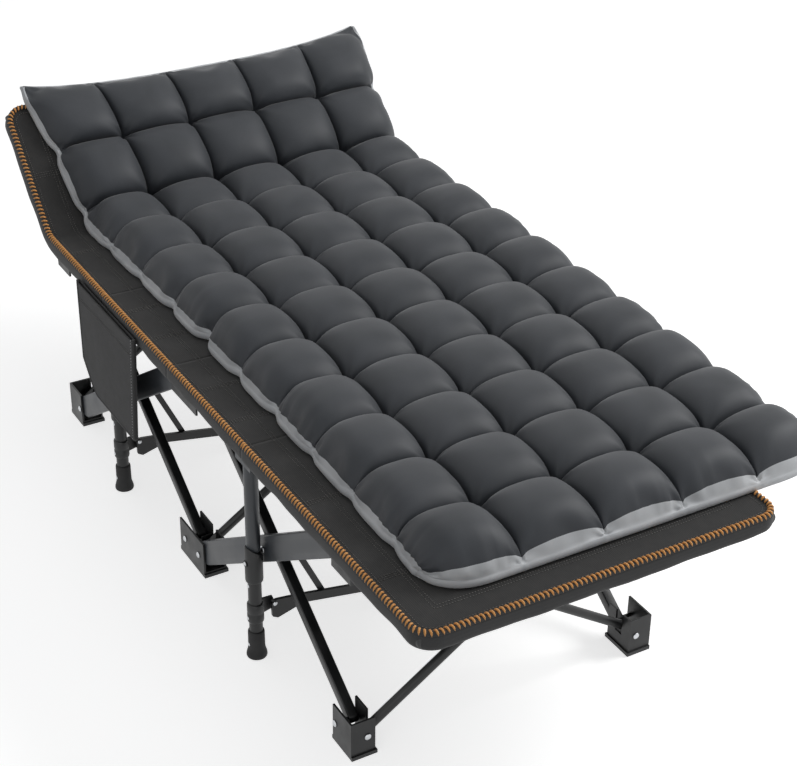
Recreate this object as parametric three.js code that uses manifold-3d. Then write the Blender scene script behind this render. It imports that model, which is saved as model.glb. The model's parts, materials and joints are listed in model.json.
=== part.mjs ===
// A folding cot: a bag-stretcher frame of six plastic foot blocks, crossed bars along both sides,
// crossed tubes across the width, hinged side rails with four round legs, a woven deck stretched
// between the rails, a raised head end, a side pocket and a tufted mattress.
// Units are millimetres, +Z is up, +X points at the foot end, -Y is the near side.
import * as THREE from "three";
import { mergeVertices } from "three/addons/utils/BufferGeometryUtils.js";
import Module from "manifold-3d";

// ---- Driving dimensions -------------------------------------------------------------------
const deckLength = 1900; // flat length of the woven deck
const deckWidth = 710; // across the deck, edge to edge
const deckTop = 470; // floor to the top of the deck
const deckThickness = 4;
const deckSkirtDrop = 30; // side band that hides the rail
const deckSkirtThickness = 1.6;
const headBendFromMiddle = 640; // where the head end starts to rise
const headAngle = 44.5; // degrees above level
const headBendRadius = 60;
const bendSteps = 6; // straight pieces in the bend's arc
const panelJoint = 1; // slit between deck panels at a rail hinge

const railDiameter = 25;
const railWall = 1.5;
const legBracketClearance = 0.5; // leg bracket's outer cheek to the deck's side band
const railHingeSpacingMiddle = 28; // two hinge pins of a middle top bracket
const railHingeSpacingLeg = 30; // two hinge pins of a leg bracket
const railEndBeyondPin = 5;
const railEndInset = 14; // rail's outer end to the deck's end
const railPinDiameter = 6;

const cornerFromMiddle = 638; // middle station to a corner block's centre
const middleBlockLength = 113;
const cornerBlockLength = 68;
const blockHeight = 80;
const blockWall = 4;
const blockFloor = 12;
const blockFlange = 3; // base flange stands out this far
const blockFlangeHeight = 8;
const footPivotHeight = 42;
const topPivotBelowDeck = 40;
const topBlockBelowDeck = 8; // deck top to the top of a top bracket
const middlePivotOffset = 32; // middle block's centre to each bar pivot
const cornerPivotInset = 25; // corner block's centre to its bar pivot
const crossTubeEndClearance = 3.5; // cross tube to the inside of a corner block's end wall

const wideBarHeight = 50;
const wideBarThickness = 17;
const wideBarEndRadius = 17;
const squareTubeSize = 20;
const barWall = 1.6;
const barPinDiameter = 8;
const layerGap = 2; // between the wide bars' plane and the square tubes' plane

const crossTubeDiameter = 18;
const crossTubeWall = 1.5;
const crossPinDiameter = 6;
const crossTubeInset = 15.5; // block's inner face to the cross tube's pivot
const crossTubeEndBeyondPin = 6;
const crossTubeGap = 1; // between the two tubes of one cross

const legFromMiddle = 325;
const legDiameter = 27;
const legWall = 1.6;
const legLowerDiameter = 26;
const legCollarDiameter = 34;
const legCollarBottom = 175;
const legCollarTop = 245;
const legSleeveDiameter = 32;
const legSleeveBottom = 82;
const legSleeveTop = 124;
const legTipDiameter = 40;
const legTipHeight = 60;
const legTipWall = 3;
const legBracketThickness = 2;
const legBracketLength = 62;

const spreaderPivotHeight = 112;
const spreaderMiddleHeight = 60;
const spreaderBarHeight = 20;
const spreaderBarThickness = 7;
const spreaderGussetDrop = 36; // below the pivot, where it meets the sleeve
const spreaderGussetLength = 60;
const spreaderEyeRadius = 6.5;
const spreaderPivotInset = 37; // leg axis to the spreader's pivot
const spreaderShiftHead = 4; // leg axis to the plane between the two arms, head end
const spreaderShiftFoot = 0;
const stayFootAlong = 108.3; // spreader pivot to the stay's lower pin, along the spreader
const stayWidth = 12;
const stayThickness = 6;
const stayInset = 18; // square tube's inner face to the stay's top pin
const smallPinDiameter = 5;
const earThickness = 4.5; // the ear on a leg's sleeve
const earAbovePivot = 8;

const mattressThickness = 70;
const mattressWidth = 805; // laid off centre, so that it hangs over the far edge
const mattressNearMargin = 70; // deck's near edge to the mattress
const mattressFootMargin = 75;
const mattressHeadOverhang = 25; // beyond the deck's head edge, along the slope
const mattressBendRadius = 110;

const pocketWidth = 300;
const pocketHeight = 240;
const pocketFromMiddle = 140; // middle station to the pocket's foot-side edge
const pocketHollow = 7; // room inside, front to back
const pocketWall = 1.5;
const pocketCornerCut = 70;
const pocketStandOff = 3.5; // deck edge to the pocket's back

const touchGap = 0.4; // between pieces that rest against each other
const pinClearance = 0.3; // round a pin, on the radius
const rivetHeadDiameter = 14;
const rivetHeadHeight = 1.1;
const pinSides = 10; // facets round a pin or its hole
const arcSegments = 4; // straight pieces in an outline's arc
const tubeSides = 12; // facets round a tube

// ---- Worked-out places --------------------------------------------------------------------
const NEAR = -1;
const FAR = 1;
const HEAD = -1;
const FOOT = 1;
const railRadius = railDiameter / 2;
const railInset =
  railRadius + touchGap + legBracketThickness + legBracketClearance + deckSkirtThickness;
const railY = deckWidth / 2 - railInset;
const railZ = deckTop - deckThickness - touchGap - railRadius;
const blockOuterY = railY - railRadius - 1.5;
const wideOuterY = blockOuterY - blockWall - 1;
const wideInnerY = wideOuterY - wideBarThickness;
const squareOuterY = wideInnerY - layerGap;
const squareInnerY = squareOuterY - squareTubeSize;
const blockInnerY = squareInnerY - 1 - blockWall;
const crossPivotY = blockInnerY + crossTubeInset;
const topPivotHeight = deckTop - topPivotBelowDeck;
const topBlockTop = deckTop - topBlockBelowDeck;
const cornerPivotX = cornerFromMiddle - cornerPivotInset;
const cornerTubePlaneX =
  cornerFromMiddle +
  cornerBlockLength / 2 -
  blockWall -
  crossTubeEndClearance -
  crossTubeDiameter -
  crossTubeGap / 2;
const hubX = (cornerPivotX + middlePivotOffset) / 2;
const hubZ = (footPivotHeight + topPivotHeight) / 2;
const crossTubeOffset = crossTubeDiameter / 2 + crossTubeGap / 2;
const largestPin = rivetHeadDiameter + 1;
const spreaderShift = { [HEAD]: spreaderShiftHead, [FOOT]: spreaderShiftFoot };
const degrees = Math.PI / 180;

const wasm = await Module();
wasm.setup();

// ---- Shape helpers ------------------------------------------------------------------------
// A closed three.js geometry as a solid that can be joined and cut.
function solid(geometry) {
  const bare = new THREE.BufferGeometry();
  const source = geometry.index ? geometry.toNonIndexed() : geometry;
  bare.setAttribute("position", source.getAttribute("position"));
  const merged = mergeVertices(bare, 1e-4);
  return new wasm.Manifold(
    new wasm.Mesh({
      numProp: 3,
      vertProperties: new Float32Array(merged.attributes.position.array),
      triVerts: new Uint32Array(merged.index.array),
    }),
  );
}

// A solid back as a three.js geometry with flat shading normals.
function geometryOf(made) {
  const raw = made.getMesh();
  const shared = new THREE.BufferGeometry();
  const count = raw.vertProperties.length / raw.numProp;
  const positions = new Float32Array(count * 3);
  for (let i = 0; i < count; i += 1)
    for (let k = 0; k < 3; k += 1) positions[3 * i + k] = raw.vertProperties[raw.numProp * i + k];
  shared.setAttribute("position", new THREE.BufferAttribute(positions, 3));
  shared.setIndex(new THREE.BufferAttribute(new Uint32Array(raw.triVerts), 1));
  const flat = shared.toNonIndexed();
  flat.computeVertexNormals();
  return flat;
}

const join = (first, ...others) => others.reduce((sum, next) => sum.add(next), first);
const cut = (first, ...others) => others.reduce((rest, next) => rest.subtract(next), first);

// A box between two values on each axis, given in either order.
function block([x0, x1], [y0, y1], [z0, z1]) {
  const geometry = new THREE.BoxGeometry(Math.abs(x1 - x0), Math.abs(y1 - y0), Math.abs(z1 - z0));
  geometry.translate((x0 + x1) / 2, (y0 + y1) / 2, (z0 + z1) / 2);
  return solid(geometry);
}

// A round bar from one point to another.
function rod(from, to, diameter) {
  const sides = diameter < largestPin ? pinSides : tubeSides;
  const start = new THREE.Vector3(...from);
  const end = new THREE.Vector3(...to);
  const along = end.clone().sub(start);
  const geometry = new THREE.CylinderGeometry(diameter / 2, diameter / 2, along.length(), sides);
  const turn = new THREE.Quaternion().setFromUnitVectors(
    new THREE.Vector3(0, 1, 0),
    along.clone().normalize(),
  );
  geometry.applyQuaternion(turn);
  const middle = start.add(end).multiplyScalar(0.5);
  geometry.translate(middle.x, middle.y, middle.z);
  return solid(geometry);
}

// A flat outline of [along, up] points, extruded to both sides of y = centreY. The outline's own
// origin lies at (x, z) and its first axis is turned by angle above +X.
function plateXZ(outline, centreY, thickness, x = 0, z = 0, angle = 0) {
  const isShape = outline instanceof THREE.Shape;
  const shape = isShape ? outline : new THREE.Shape(outline.map((p) => new THREE.Vector2(...p)));
  const geometry = new THREE.ExtrudeGeometry(shape, {
    depth: thickness,
    bevelEnabled: false,
    curveSegments: arcSegments,
  });
  geometry.translate(0, 0, -thickness / 2);
  geometry.rotateX(Math.PI / 2);
  geometry.rotateY(-angle);
  geometry.translate(x, centreY, z);
  return solid(geometry);
}

// The same across the cot: the outline lies in the Y-Z plane, and inward says which way its
// first axis points, +1 for +Y and -1 for -Y.
function plateYZ(outline, centreX, thickness, y, z, inward) {
  const shape = new THREE.Shape(outline.map((p) => new THREE.Vector2(...p)));
  const geometry = new THREE.ExtrudeGeometry(shape, {
    depth: thickness,
    bevelEnabled: false,
    curveSegments: arcSegments,
  });
  geometry.translate(0, 0, -thickness / 2);
  geometry.rotateX(Math.PI / 2);
  geometry.rotateZ((inward * Math.PI) / 2);
  geometry.translate(centreX, y, z);
  return solid(geometry);
}

// A bar's side outline: pivots at 0 and length, ends rounded to endRadius about each pivot.
function barOutline(length, height, endRadius) {
  const half = height / 2;
  const shoulder = endRadius + (half - endRadius) * 0.6;
  const shape = new THREE.Shape();
  shape.moveTo(shoulder, -half);
  shape.lineTo(length - shoulder, -half);
  shape.lineTo(length, -endRadius);
  shape.absarc(length, 0, endRadius, -Math.PI / 2, Math.PI / 2, false);
  shape.lineTo(length - shoulder, half);
  shape.lineTo(shoulder, half);
  shape.lineTo(0, endRadius);
  shape.absarc(0, 0, endRadius, Math.PI / 2, (3 * Math.PI) / 2, false);
  return shape;
}

// A hollow flat or square bar in the X-Z plane between two pivots, with a hole at each end.
function hollowBar(from, to, centreY, height, thickness, endRadius) {
  const [x, z] = from;
  const length = Math.hypot(to[0] - x, to[1] - z);
  const angle = Math.atan2(to[1] - z, to[0] - x);
  const outer = plateXZ(barOutline(length, height, endRadius), centreY, thickness, x, z, angle);
  const insideHalf = height / 2 - barWall;
  const inside = [
    [-height, -insideHalf],
    [length + height, -insideHalf],
    [length + height, insideHalf],
    [-height, insideHalf],
  ];
  const hollow = plateXZ(inside, centreY, thickness - 2 * barWall, x, z, angle);
  const reach = thickness;
  const hole = barPinDiameter + 2 * pinClearance;
  const startHole = rod([x, centreY - reach, z], [x, centreY + reach, z], hole);
  const endHole = rod([to[0], centreY - reach, to[1]], [to[0], centreY + reach, to[1]], hole);
  return cut(outer, hollow, startHole, endHole);
}

// A path that runs straight from each of its points to the next.
class PointPath extends THREE.Curve {
  constructor(points) {
    super();
    this.points = points.map((p) => new THREE.Vector3(...p));
  }

  getPoint(t, target = new THREE.Vector3()) {
    const last = this.points.length - 1;
    const at = Math.min(Math.floor(t * last + 1e-9), last - 1);
    return target.lerpVectors(this.points[at], this.points[at + 1], t * last - at);
  }

  getPointAt(u, target) {
    return this.getPoint(u, target);
  }

  getTangentAt(u) {
    const step = 0.5 / (this.points.length - 1);
    const before = this.getPoint(Math.max(u - step, 0));
    return this.getPoint(Math.min(u + step, 1)).sub(before).normalize();
  }
}

// ---- Materials ----------------------------------------------------------------------------
const finish = (color, roughness, metalness) =>
  new THREE.MeshStandardMaterial({ color, roughness, metalness });
const blackPlastic = finish("#1b1c1e", 0.55, 0);
const blackPaint = finish("#1d1e20", 0.45, 0.3);
const greyPaint = finish("#4b4e53", 0.42, 0.35);
const blackRubber = finish("#161617", 0.85, 0);
const deckCloth = finish("#2c2c2d", 0.9, 0);
const mattressCloth = finish("#3a3d41", 0.75, 0);

const cot = new THREE.Group();
cot.name = "folding_cot";

function add(name, made, material) {
  const mesh = new THREE.Mesh(geometryOf(made), material.clone());
  mesh.name = name;
  cot.add(mesh);
}

const sideName = (side) => (side === NEAR ? "near" : "far");
const endName = (end) => (end === HEAD ? "head" : "foot");

// ---- Foot blocks and top brackets ---------------------------------------------------------
// Both are channels across whose walls the bar pins run; a foot block opens upwards and a top
// bracket opens downwards. station is -1, 0 or 1; tubeSign says on which side of the crossing
// plane this block's own cross tube lies.
function channelBlock(station, side, upright, tubeSign) {
  const corner = station !== 0;
  const centreX = station * cornerFromMiddle;
  const length = corner ? cornerBlockLength : middleBlockLength;
  const outward = corner ? station : 1;
  const endX = centreX + (outward * length) / 2;
  const openX = centreX - (outward * length) / 2;
  const baseZ = upright ? 0 : topBlockTop;
  const rise = upright ? 1 : -1;
  const pivotZ = upright ? footPivotHeight : topPivotHeight;
  const level = (distance) => baseZ + rise * distance;
  const y = (distance) => side * distance;
  const floor = upright ? blockFloor : blockWall;

  let made = block([openX, endX], [y(blockInnerY), y(blockOuterY)], [baseZ, level(blockHeight)]);
  if (upright) {
    const flangeX = [openX - outward * blockFlange, endX + outward * blockFlange];
    const flangeY = [y(blockInnerY - blockFlange), y(blockOuterY)];
    made = join(made, block(flangeX, flangeY, [0, blockFlangeHeight]));
  }
  const hollowEnd = corner ? endX - outward * blockWall : endX + outward * length;
  const hollowY = [y(blockInnerY + blockWall), y(blockOuterY - blockWall)];
  made = cut(
    made,
    block([openX - outward * length, hollowEnd], hollowY, [level(floor), level(2 * blockHeight)]),
  );

  // The way out of the inner wall for the cross tube.
  const planeX = corner ? station * cornerTubePlaneX : 0;
  const tubeX = planeX + tubeSign * crossTubeOffset;
  const slotHalf = crossTubeDiameter / 2 + 1;
  const slotFrom = pivotZ - rise * (crossTubeDiameter / 2);
  made = cut(
    made,
    block(
      [tubeX - slotHalf, tubeX + slotHalf],
      [y(blockInnerY - 2 * blockWall), y(blockInnerY + blockWall + 1)],
      [slotFrom, level(2 * blockHeight)],
    ),
  );

  // Bar pins from wall to wall, with rivet heads on the outer face.
  const pinXs = corner
    ? [station * cornerPivotX]
    : [-middlePivotOffset, middlePivotOffset];
  for (const x of pinXs) {
    const shaft = rod([x, y(blockInnerY + 1), pivotZ], [x, y(blockOuterY - 1), pivotZ], barPinDiameter);
    const head = rod(
      [x, y(blockOuterY - 1), pivotZ],
      [x, y(blockOuterY + rivetHeadHeight), pivotZ],
      rivetHeadDiameter,
    );
    made = join(made, shaft, head);
  }

  // The cross tube's pin runs along X from the end wall, or from a rib in a middle block.
  const pinStart = corner ? endX - outward : planeX - tubeSign * 2;
  const farSideOfTube = tubeX + Math.sign(tubeX - pinStart) * (crossTubeDiameter / 2 + 1);
  const crossY = y(crossPivotY);
  if (!corner) {
    const ribY = [y(blockInnerY + 1), y(wideInnerY - 1)];
    made = join(made, block([planeX, planeX - tubeSign * 3], ribY, [level(floor - 1), pivotZ + rise * 16]));
  } else {
    const outside = endX + outward * rivetHeadHeight;
    made = join(made, rod([pinStart, crossY, pivotZ], [outside, crossY, pivotZ], rivetHeadDiameter));
  }
  return join(made, rod([pinStart, crossY, pivotZ], [farSideOfTube, crossY, pivotZ], crossPinDiameter));
}

const stationName = { "-1": "head", 0: "middle", 1: "foot" };
for (const side of [NEAR, FAR])
  for (const station of [-1, 0, 1]) {
    const outward = station === 0 ? 1 : station;
    const footSign = side === NEAR ? outward : -outward;
    const place = `${stationName[station]}_${sideName(side)}`;
    add(`foot_block_${place}`, channelBlock(station, side, true, footSign), blackPlastic);
    let bracket = channelBlock(station, side, false, -footSign);
    if (station === 0) {
      // Two pins carry the rails that hinge on the middle bracket.
      for (const end of [HEAD, FOOT]) {
        const x = (end * railHingeSpacingMiddle) / 2;
        const reach = railY + railRadius - 2;
        bracket = join(
          bracket,
          rod([x, side * (blockOuterY - 1), railZ], [x, side * reach, railZ], railPinDiameter),
        );
      }
    } else {
      // The rail swings on this stud; the stud stops just short of it.
      const x = station * (cornerFromMiddle - 2);
      const stop = railY - railRadius - touchGap;
      bracket = join(
        bracket,
        rod([x, side * (blockOuterY - 1), railZ], [x, side * stop, railZ], rivetHeadDiameter),
      );
    }
    add(`top_bracket_${place}`, bracket, blackPlastic);
  }

// ---- Crossed bars along each side ---------------------------------------------------------
// A wide bar rises towards the foot end and a square tube towards the head end; the wide bar
// holds the pin of their crossing.
for (const side of [NEAR, FAR])
  for (const end of [HEAD, FOOT]) {
    const low = end === FOOT ? middlePivotOffset : -cornerPivotX;
    const high = end === FOOT ? cornerPivotX : -middlePivotOffset;
    const crossing = end * hubX;
    const wideY = (side * (wideOuterY + wideInnerY)) / 2;
    const squareY = (side * (squareOuterY + squareInnerY)) / 2;
    const place = `${endName(end)}_${sideName(side)}`;

    let wide = hollowBar(
      [low, footPivotHeight],
      [high, topPivotHeight],
      wideY,
      wideBarHeight,
      wideBarThickness,
      wideBarEndRadius,
    );
    const innerEnd = side * (squareInnerY - touchGap);
    wide = join(
      wide,
      rod([crossing, side * (wideOuterY - 1), hubZ], [crossing, innerEnd, hubZ], barPinDiameter),
      rod(
        [crossing, side * (wideOuterY - 1), hubZ],
        [crossing, side * (wideOuterY + rivetHeadHeight), hubZ],
        rivetHeadDiameter,
      ),
      rod(
        [crossing, innerEnd, hubZ],
        [crossing, innerEnd - side * rivetHeadHeight, hubZ],
        rivetHeadDiameter,
      ),
    );
    add(`wide_bar_${place}`, wide, greyPaint);

    const square = hollowBar(
      [high, footPivotHeight],
      [low, topPivotHeight],
      squareY,
      squareTubeSize,
      squareTubeSize,
      squareTubeSize / 2,
    );
    const hubHole = rod(
      [crossing, side * (squareInnerY - 1), hubZ],
      [crossing, side * (squareOuterY + 1), hubZ],
      barPinDiameter + 2 * pinClearance,
    );
    add(`square_tube_${place}`, cut(square, hubHole), blackPaint);
  }

// ---- Crossed tubes across the width -------------------------------------------------------
function crossTube(tubeX, fromSide, planeX, holdsPin) {
  const low = new THREE.Vector3(tubeX, fromSide * crossPivotY, footPivotHeight);
  const high = new THREE.Vector3(tubeX, -fromSide * crossPivotY, topPivotHeight);
  const along = high.clone().sub(low).normalize();
  const start = low.clone().addScaledVector(along, -crossTubeEndBeyondPin);
  const end = high.clone().addScaledVector(along, crossTubeEndBeyondPin);
  const before = start.clone().addScaledVector(along, -crossTubeDiameter);
  const beyond = end.clone().addScaledVector(along, crossTubeDiameter);
  const reach = crossTubeDiameter;
  const pinHole = (point) =>
    rod(
      [tubeX - reach, point.y, point.z],
      [tubeX + reach, point.y, point.z],
      crossPinDiameter + 2 * pinClearance,
    );
  const middle = low.clone().add(high).multiplyScalar(0.5);
  let made = rod(start.toArray(), end.toArray(), crossTubeDiameter);
  made = cut(made, rod(before.toArray(), beyond.toArray(), crossTubeDiameter - 2 * crossTubeWall));
  made = cut(made, pinHole(low), pinHole(high));
  if (!holdsPin) return cut(made, pinHole(middle));
  const toOther = Math.sign(planeX - tubeX);
  const pinEnd = planeX + toOther * (crossTubeDiameter + crossTubeGap);
  const pinStart = tubeX - toOther * (crossTubeDiameter / 2 - crossTubeWall / 2);
  return join(made, rod([pinStart, middle.y, middle.z], [pinEnd, middle.y, middle.z], crossPinDiameter));
}

for (const station of [-1, 0, 1]) {
  const outward = station === 0 ? 1 : station;
  const planeX = station * cornerTubePlaneX;
  for (const side of [NEAR, FAR]) {
    const sign = side === NEAR ? outward : -outward;
    const made = crossTube(planeX + sign * crossTubeOffset, side, planeX, side === NEAR);
    add(`cross_tube_${stationName[station]}_from_${sideName(side)}`, made, blackPaint);
  }
}

// ---- Side rails ---------------------------------------------------------------------------
const middleRailStart = railHingeSpacingMiddle / 2;
const middleRailEnd = legFromMiddle - railHingeSpacingLeg / 2;
const endRailStart = legFromMiddle + railHingeSpacingLeg / 2;
const halfLength = deckLength / 2;

function railPinHole(x, side) {
  const reach = railRadius + 2;
  return rod(
    [x, side * (railY - reach), railZ],
    [x, side * (railY + reach), railZ],
    railPinDiameter + 2 * pinClearance,
  );
}

// The deck's top in side view, from startX out to the end. At the head it turns up through an
// arc that touches the level and the rising stretch.
function deckLine(end, startX, endLoss, radius = headBendRadius) {
  if (end === FOOT)
    return [
      [startX, deckTop],
      [halfLength - endLoss, deckTop],
    ];
  const line = [[-startX, deckTop]];
  const arcStart = headBendFromMiddle - radius * Math.tan((headAngle * degrees) / 2);
  for (let i = 0; i <= bendSteps; i += 1) {
    const turned = (headAngle * degrees * i) / bendSteps;
    line.push([-arcStart - radius * Math.sin(turned), deckTop + radius * (1 - Math.cos(turned))]);
  }
  const rising = halfLength - headBendFromMiddle - endLoss;
  line.push([
    -headBendFromMiddle - rising * Math.cos(headAngle * degrees),
    deckTop + rising * Math.sin(headAngle * degrees),
  ]);
  return line;
}

// The same line moved up, or down for a negative height, square to itself.
function offsetLine(line, height) {
  const forward = Math.sign(line[line.length - 1][0] - line[0][0]);
  const slope = ([x0, z0], [x1, z1]) => Math.atan2(z1 - z0, Math.abs(x1 - x0));
  return line.map(([x, z], i) => {
    const before = slope(line[Math.max(i - 1, 0)], line[Math.max(i, 1)]);
    const after = slope(line[Math.min(i, line.length - 2)], line[Math.min(i + 1, line.length - 1)]);
    const angle = (before + after) / 2;
    const reach = height / Math.cos((after - before) / 2);
    return [x - forward * Math.sin(angle) * reach, z + Math.cos(angle) * reach];
  });
}

for (const side of [NEAR, FAR])
  for (const end of [HEAD, FOOT]) {
    const place = `${endName(end)}_${sideName(side)}`;
    const y = side * railY;
    const from = end * (middleRailStart - railEndBeyondPin);
    const to = end * (middleRailEnd + railEndBeyondPin);
    const bore = railDiameter - 2 * railWall;
    const middle = cut(
      rod([from, y, railZ], [to, y, railZ], railDiameter),
      rod([from - end * 10, y, railZ], [to + end * 10, y, railZ], bore),
      railPinHole(end * middleRailStart, side),
      railPinHole(end * middleRailEnd, side),
    );
    add(`middle_rail_${place}`, middle, blackPaint);

    const top = deckLine(end, endRailStart - railEndBeyondPin, railEndInset);
    const line = offsetLine(top, railZ - deckTop);
    const path = new PointPath(line.map(([x, z]) => [x, y, z]));
    const ring = new THREE.Shape().absarc(0, 0, railRadius, 0, 2 * Math.PI, false);
    ring.holes.push(new THREE.Path().absarc(0, 0, railRadius - railWall, 0, 2 * Math.PI, true));
    const sweep = new THREE.ExtrudeGeometry(ring, {
      extrudePath: path,
      steps: line.length - 1,
      bevelEnabled: false,
      curveSegments: tubeSides / 2,
    });
    add(
      `end_rail_${place}`,
      cut(solid(sweep), railPinHole(end * endRailStart, side)),
      blackPaint,
    );
  }

// ---- Legs ---------------------------------------------------------------------------------
for (const side of [NEAR, FAR])
  for (const end of [HEAD, FOOT]) {
    const place = `${endName(end)}_${sideName(side)}`;
    const x = end * legFromMiddle;
    const y = side * railY;
    const halfBracket = legBracketLength / 2;
    const cheekIn = side * (railY - railRadius - touchGap);
    const cheekOut = side * (railY + railRadius + touchGap);
    const webTop = railZ - railRadius - 2;
    const cheekTop = railZ + railRadius - 4;
    const webBottom = webTop - 6;
    const spanX = [x - halfBracket, x + halfBracket];
    const inner = [cheekIn, cheekIn - side * legBracketThickness];
    const outer = [cheekOut, cheekOut + side * legBracketThickness];
    let bracket = join(
      block(spanX, inner, [webBottom, cheekTop]),
      block(spanX, outer, [webBottom, cheekTop]),
      block(spanX, [inner[1], outer[1]], [webBottom, webTop]),
    );
    for (const pinEnd of [HEAD, FOOT]) {
      const pinX = x + (pinEnd * railHingeSpacingLeg) / 2;
      bracket = join(bracket, rod([pinX, inner[1], railZ], [pinX, outer[1], railZ], railPinDiameter));
    }
    add(`leg_bracket_${place}`, bracket, blackPlastic);

    // The leg: a wide tube over a narrower one, with a collar and a lower sleeve moulded on.
    const up = (radius, height) => new THREE.Vector2(radius, height);
    const top = webBottom - touchGap;
    const bore = legLowerDiameter / 2 - legWall;
    const profile = [
      up(bore, legTipWall + touchGap),
      up(legLowerDiameter / 2, legTipWall + touchGap),
      up(legLowerDiameter / 2, legSleeveBottom),
      up(legSleeveDiameter / 2, legSleeveBottom + 2),
      up(legSleeveDiameter / 2, legSleeveTop - 2),
      up(legLowerDiameter / 2, legSleeveTop),
      up(legLowerDiameter / 2, legCollarBottom),
      up(legCollarDiameter / 2, legCollarBottom + 2),
      up(legCollarDiameter / 2, legCollarTop - 2),
      up(legDiameter / 2, legCollarTop),
      up(legDiameter / 2, top),
      up(legDiameter / 2 - legWall, top),
      up(legDiameter / 2 - legWall, legCollarTop),
      up(bore, legCollarTop - 20),
      up(bore, legTipWall + touchGap),
    ];
    const turned = new THREE.LatheGeometry(profile, tubeSides);
    turned.rotateX(Math.PI / 2);
    turned.translate(x, y, 0);
    // An ear on the sleeve's inner side carries the spreader's pin.
    const pivotY = side * (railY - spreaderPivotInset);
    const planeX = x + spreaderShift[end];
    const earX = [planeX - spreaderBarThickness - earThickness - 1, planeX - spreaderBarThickness - 1];
    const earY = [side * (railY - legSleeveDiameter / 2 + 4), pivotY - side * smallPinDiameter];
    const earZ = [legSleeveBottom + 2, spreaderPivotHeight + earAbovePivot];
    const ear = join(
      block(earX, earY, earZ),
      rod(
        [earX[0], pivotY, spreaderPivotHeight],
        [planeX + spreaderBarThickness + 2, pivotY, spreaderPivotHeight],
        smallPinDiameter,
      ),
    );
    add(`leg_${place}`, join(solid(turned), ear), greyPaint);

    const tip = [
      up(0, 0),
      up(legTipDiameter / 2 - 2, 0),
      up(legTipDiameter / 2, 3),
      up(legTipDiameter / 2 - 1, 12),
      up(legLowerDiameter / 2 + legTipWall, 20),
      up(legLowerDiameter / 2 + legTipWall, legTipHeight),
      up(legLowerDiameter / 2 + touchGap, legTipHeight),
      up(legLowerDiameter / 2 + touchGap, legTipWall),
      up(0, legTipWall),
    ];
    const cup = new THREE.LatheGeometry(tip, tubeSides);
    cup.rotateX(Math.PI / 2);
    cup.translate(x, y, 0);
    add(`leg_tip_${place}`, solid(cup), blackRubber);
  }

// ---- Spreaders and stays between opposite legs --------------------------------------------
// Each half runs from its leg's sleeve to the middle; the near and far halves lie side by side.
const spreaderRun = railY - spreaderPivotInset;
const spreaderSlope = Math.atan2(spreaderMiddleHeight - spreaderPivotHeight, spreaderRun);
for (const side of [NEAR, FAR])
  for (const end of [HEAD, FOOT]) {
    const place = `${endName(end)}_${sideName(side)}`;
    const inward = -side;
    const legX = end * legFromMiddle;
    const layer = side === NEAR ? 1 : -1;
    const planeX = legX + spreaderShift[end];
    const centreX = planeX + layer * (spreaderBarThickness / 2 + touchGap);
    const pivotY = side * spreaderRun;
    const low = (distance) => distance * Math.tan(spreaderSlope);
    const half = spreaderBarHeight / 2;
    const eye = spreaderEyeRadius;
    const outline = [
      [-eye, 0],
      [-eye * 0.7, -spreaderGussetDrop + 6],
      [6, -spreaderGussetDrop],
      [spreaderGussetLength, low(spreaderGussetLength) - half],
      [spreaderRun, low(spreaderRun) - half],
      [spreaderRun + half, low(spreaderRun)],
      [spreaderRun, low(spreaderRun) + half],
      [spreaderGussetLength, low(spreaderGussetLength) + half],
      [eye, eye],
      [0, eye],
      [-eye * 0.7, eye * 0.7],
    ];
    let arm = plateYZ(outline, centreX, spreaderBarThickness, pivotY, spreaderPivotHeight, inward);
    const pinReach = spreaderBarThickness;
    const pinHole = rod(
      [centreX - pinReach, pivotY, spreaderPivotHeight],
      [centreX + pinReach, pivotY, spreaderPivotHeight],
      smallPinDiameter + 2 * pinClearance,
    );
    arm = cut(arm, pinHole);
    const footAlong = stayFootAlong * Math.cos(spreaderSlope);
    const footY = pivotY + inward * footAlong;
    const footZ = spreaderPivotHeight + low(footAlong);
    const stayX = planeX - layer * (stayThickness / 2 + touchGap);
    const pinFrom = centreX - layer;
    const pinTo = stayX - layer * (stayThickness / 2 + 1);
    arm = join(arm, rod([pinFrom, footY, footZ], [pinTo, footY, footZ], smallPinDiameter));
    add(`spreader_arm_${place}`, arm, blackPaint);

    const topY = side * (squareInnerY - stayInset);
    const run = Math.abs(footY - topY);
    const stayLength = Math.hypot(run, hubZ - footZ);
    const lean = Math.atan2(hubZ - footZ, run);
    const bar = barOutline(stayLength, stayWidth, stayWidth / 2).getPoints(6);
    const turned = bar.map((p) => [
      p.x * Math.cos(lean) - p.y * Math.sin(lean),
      p.x * Math.sin(lean) + p.y * Math.cos(lean),
    ]);
    let stay = plateYZ(turned, stayX, stayThickness, footY, footZ, side);
    stay = cut(
      stay,
      rod(
        [stayX - stayThickness, footY, footZ],
        [stayX + stayThickness, footY, footZ],
        smallPinDiameter + 2 * pinClearance,
      ),
    );
    add(`stay_${place}`, stay, blackPaint);
  }

// ---- Deck, mattress and pocket ------------------------------------------------------------
// The outline of a strip that follows a side line, between two heights above it.
function stripAlong(line, low, high) {
  const outline = [...offsetLine(line, low), ...offsetLine(line, high).reverse()];
  const area = THREE.ShapeUtils.area(outline.map((p) => new THREE.Vector2(...p)));
  return area < 0 ? outline.reverse() : outline;
}

function deckPanel(line) {
  const slab = plateXZ(stripAlong(line, -deckThickness, 0), 0, deckWidth);
  const skirtY = deckWidth / 2 - deckSkirtThickness / 2;
  const skirt = stripAlong(line, -deckSkirtDrop, -deckThickness / 2);
  return join(
    slab,
    plateXZ(skirt, skirtY, deckSkirtThickness),
    plateXZ(skirt, -skirtY, deckSkirtThickness),
  );
}

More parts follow.
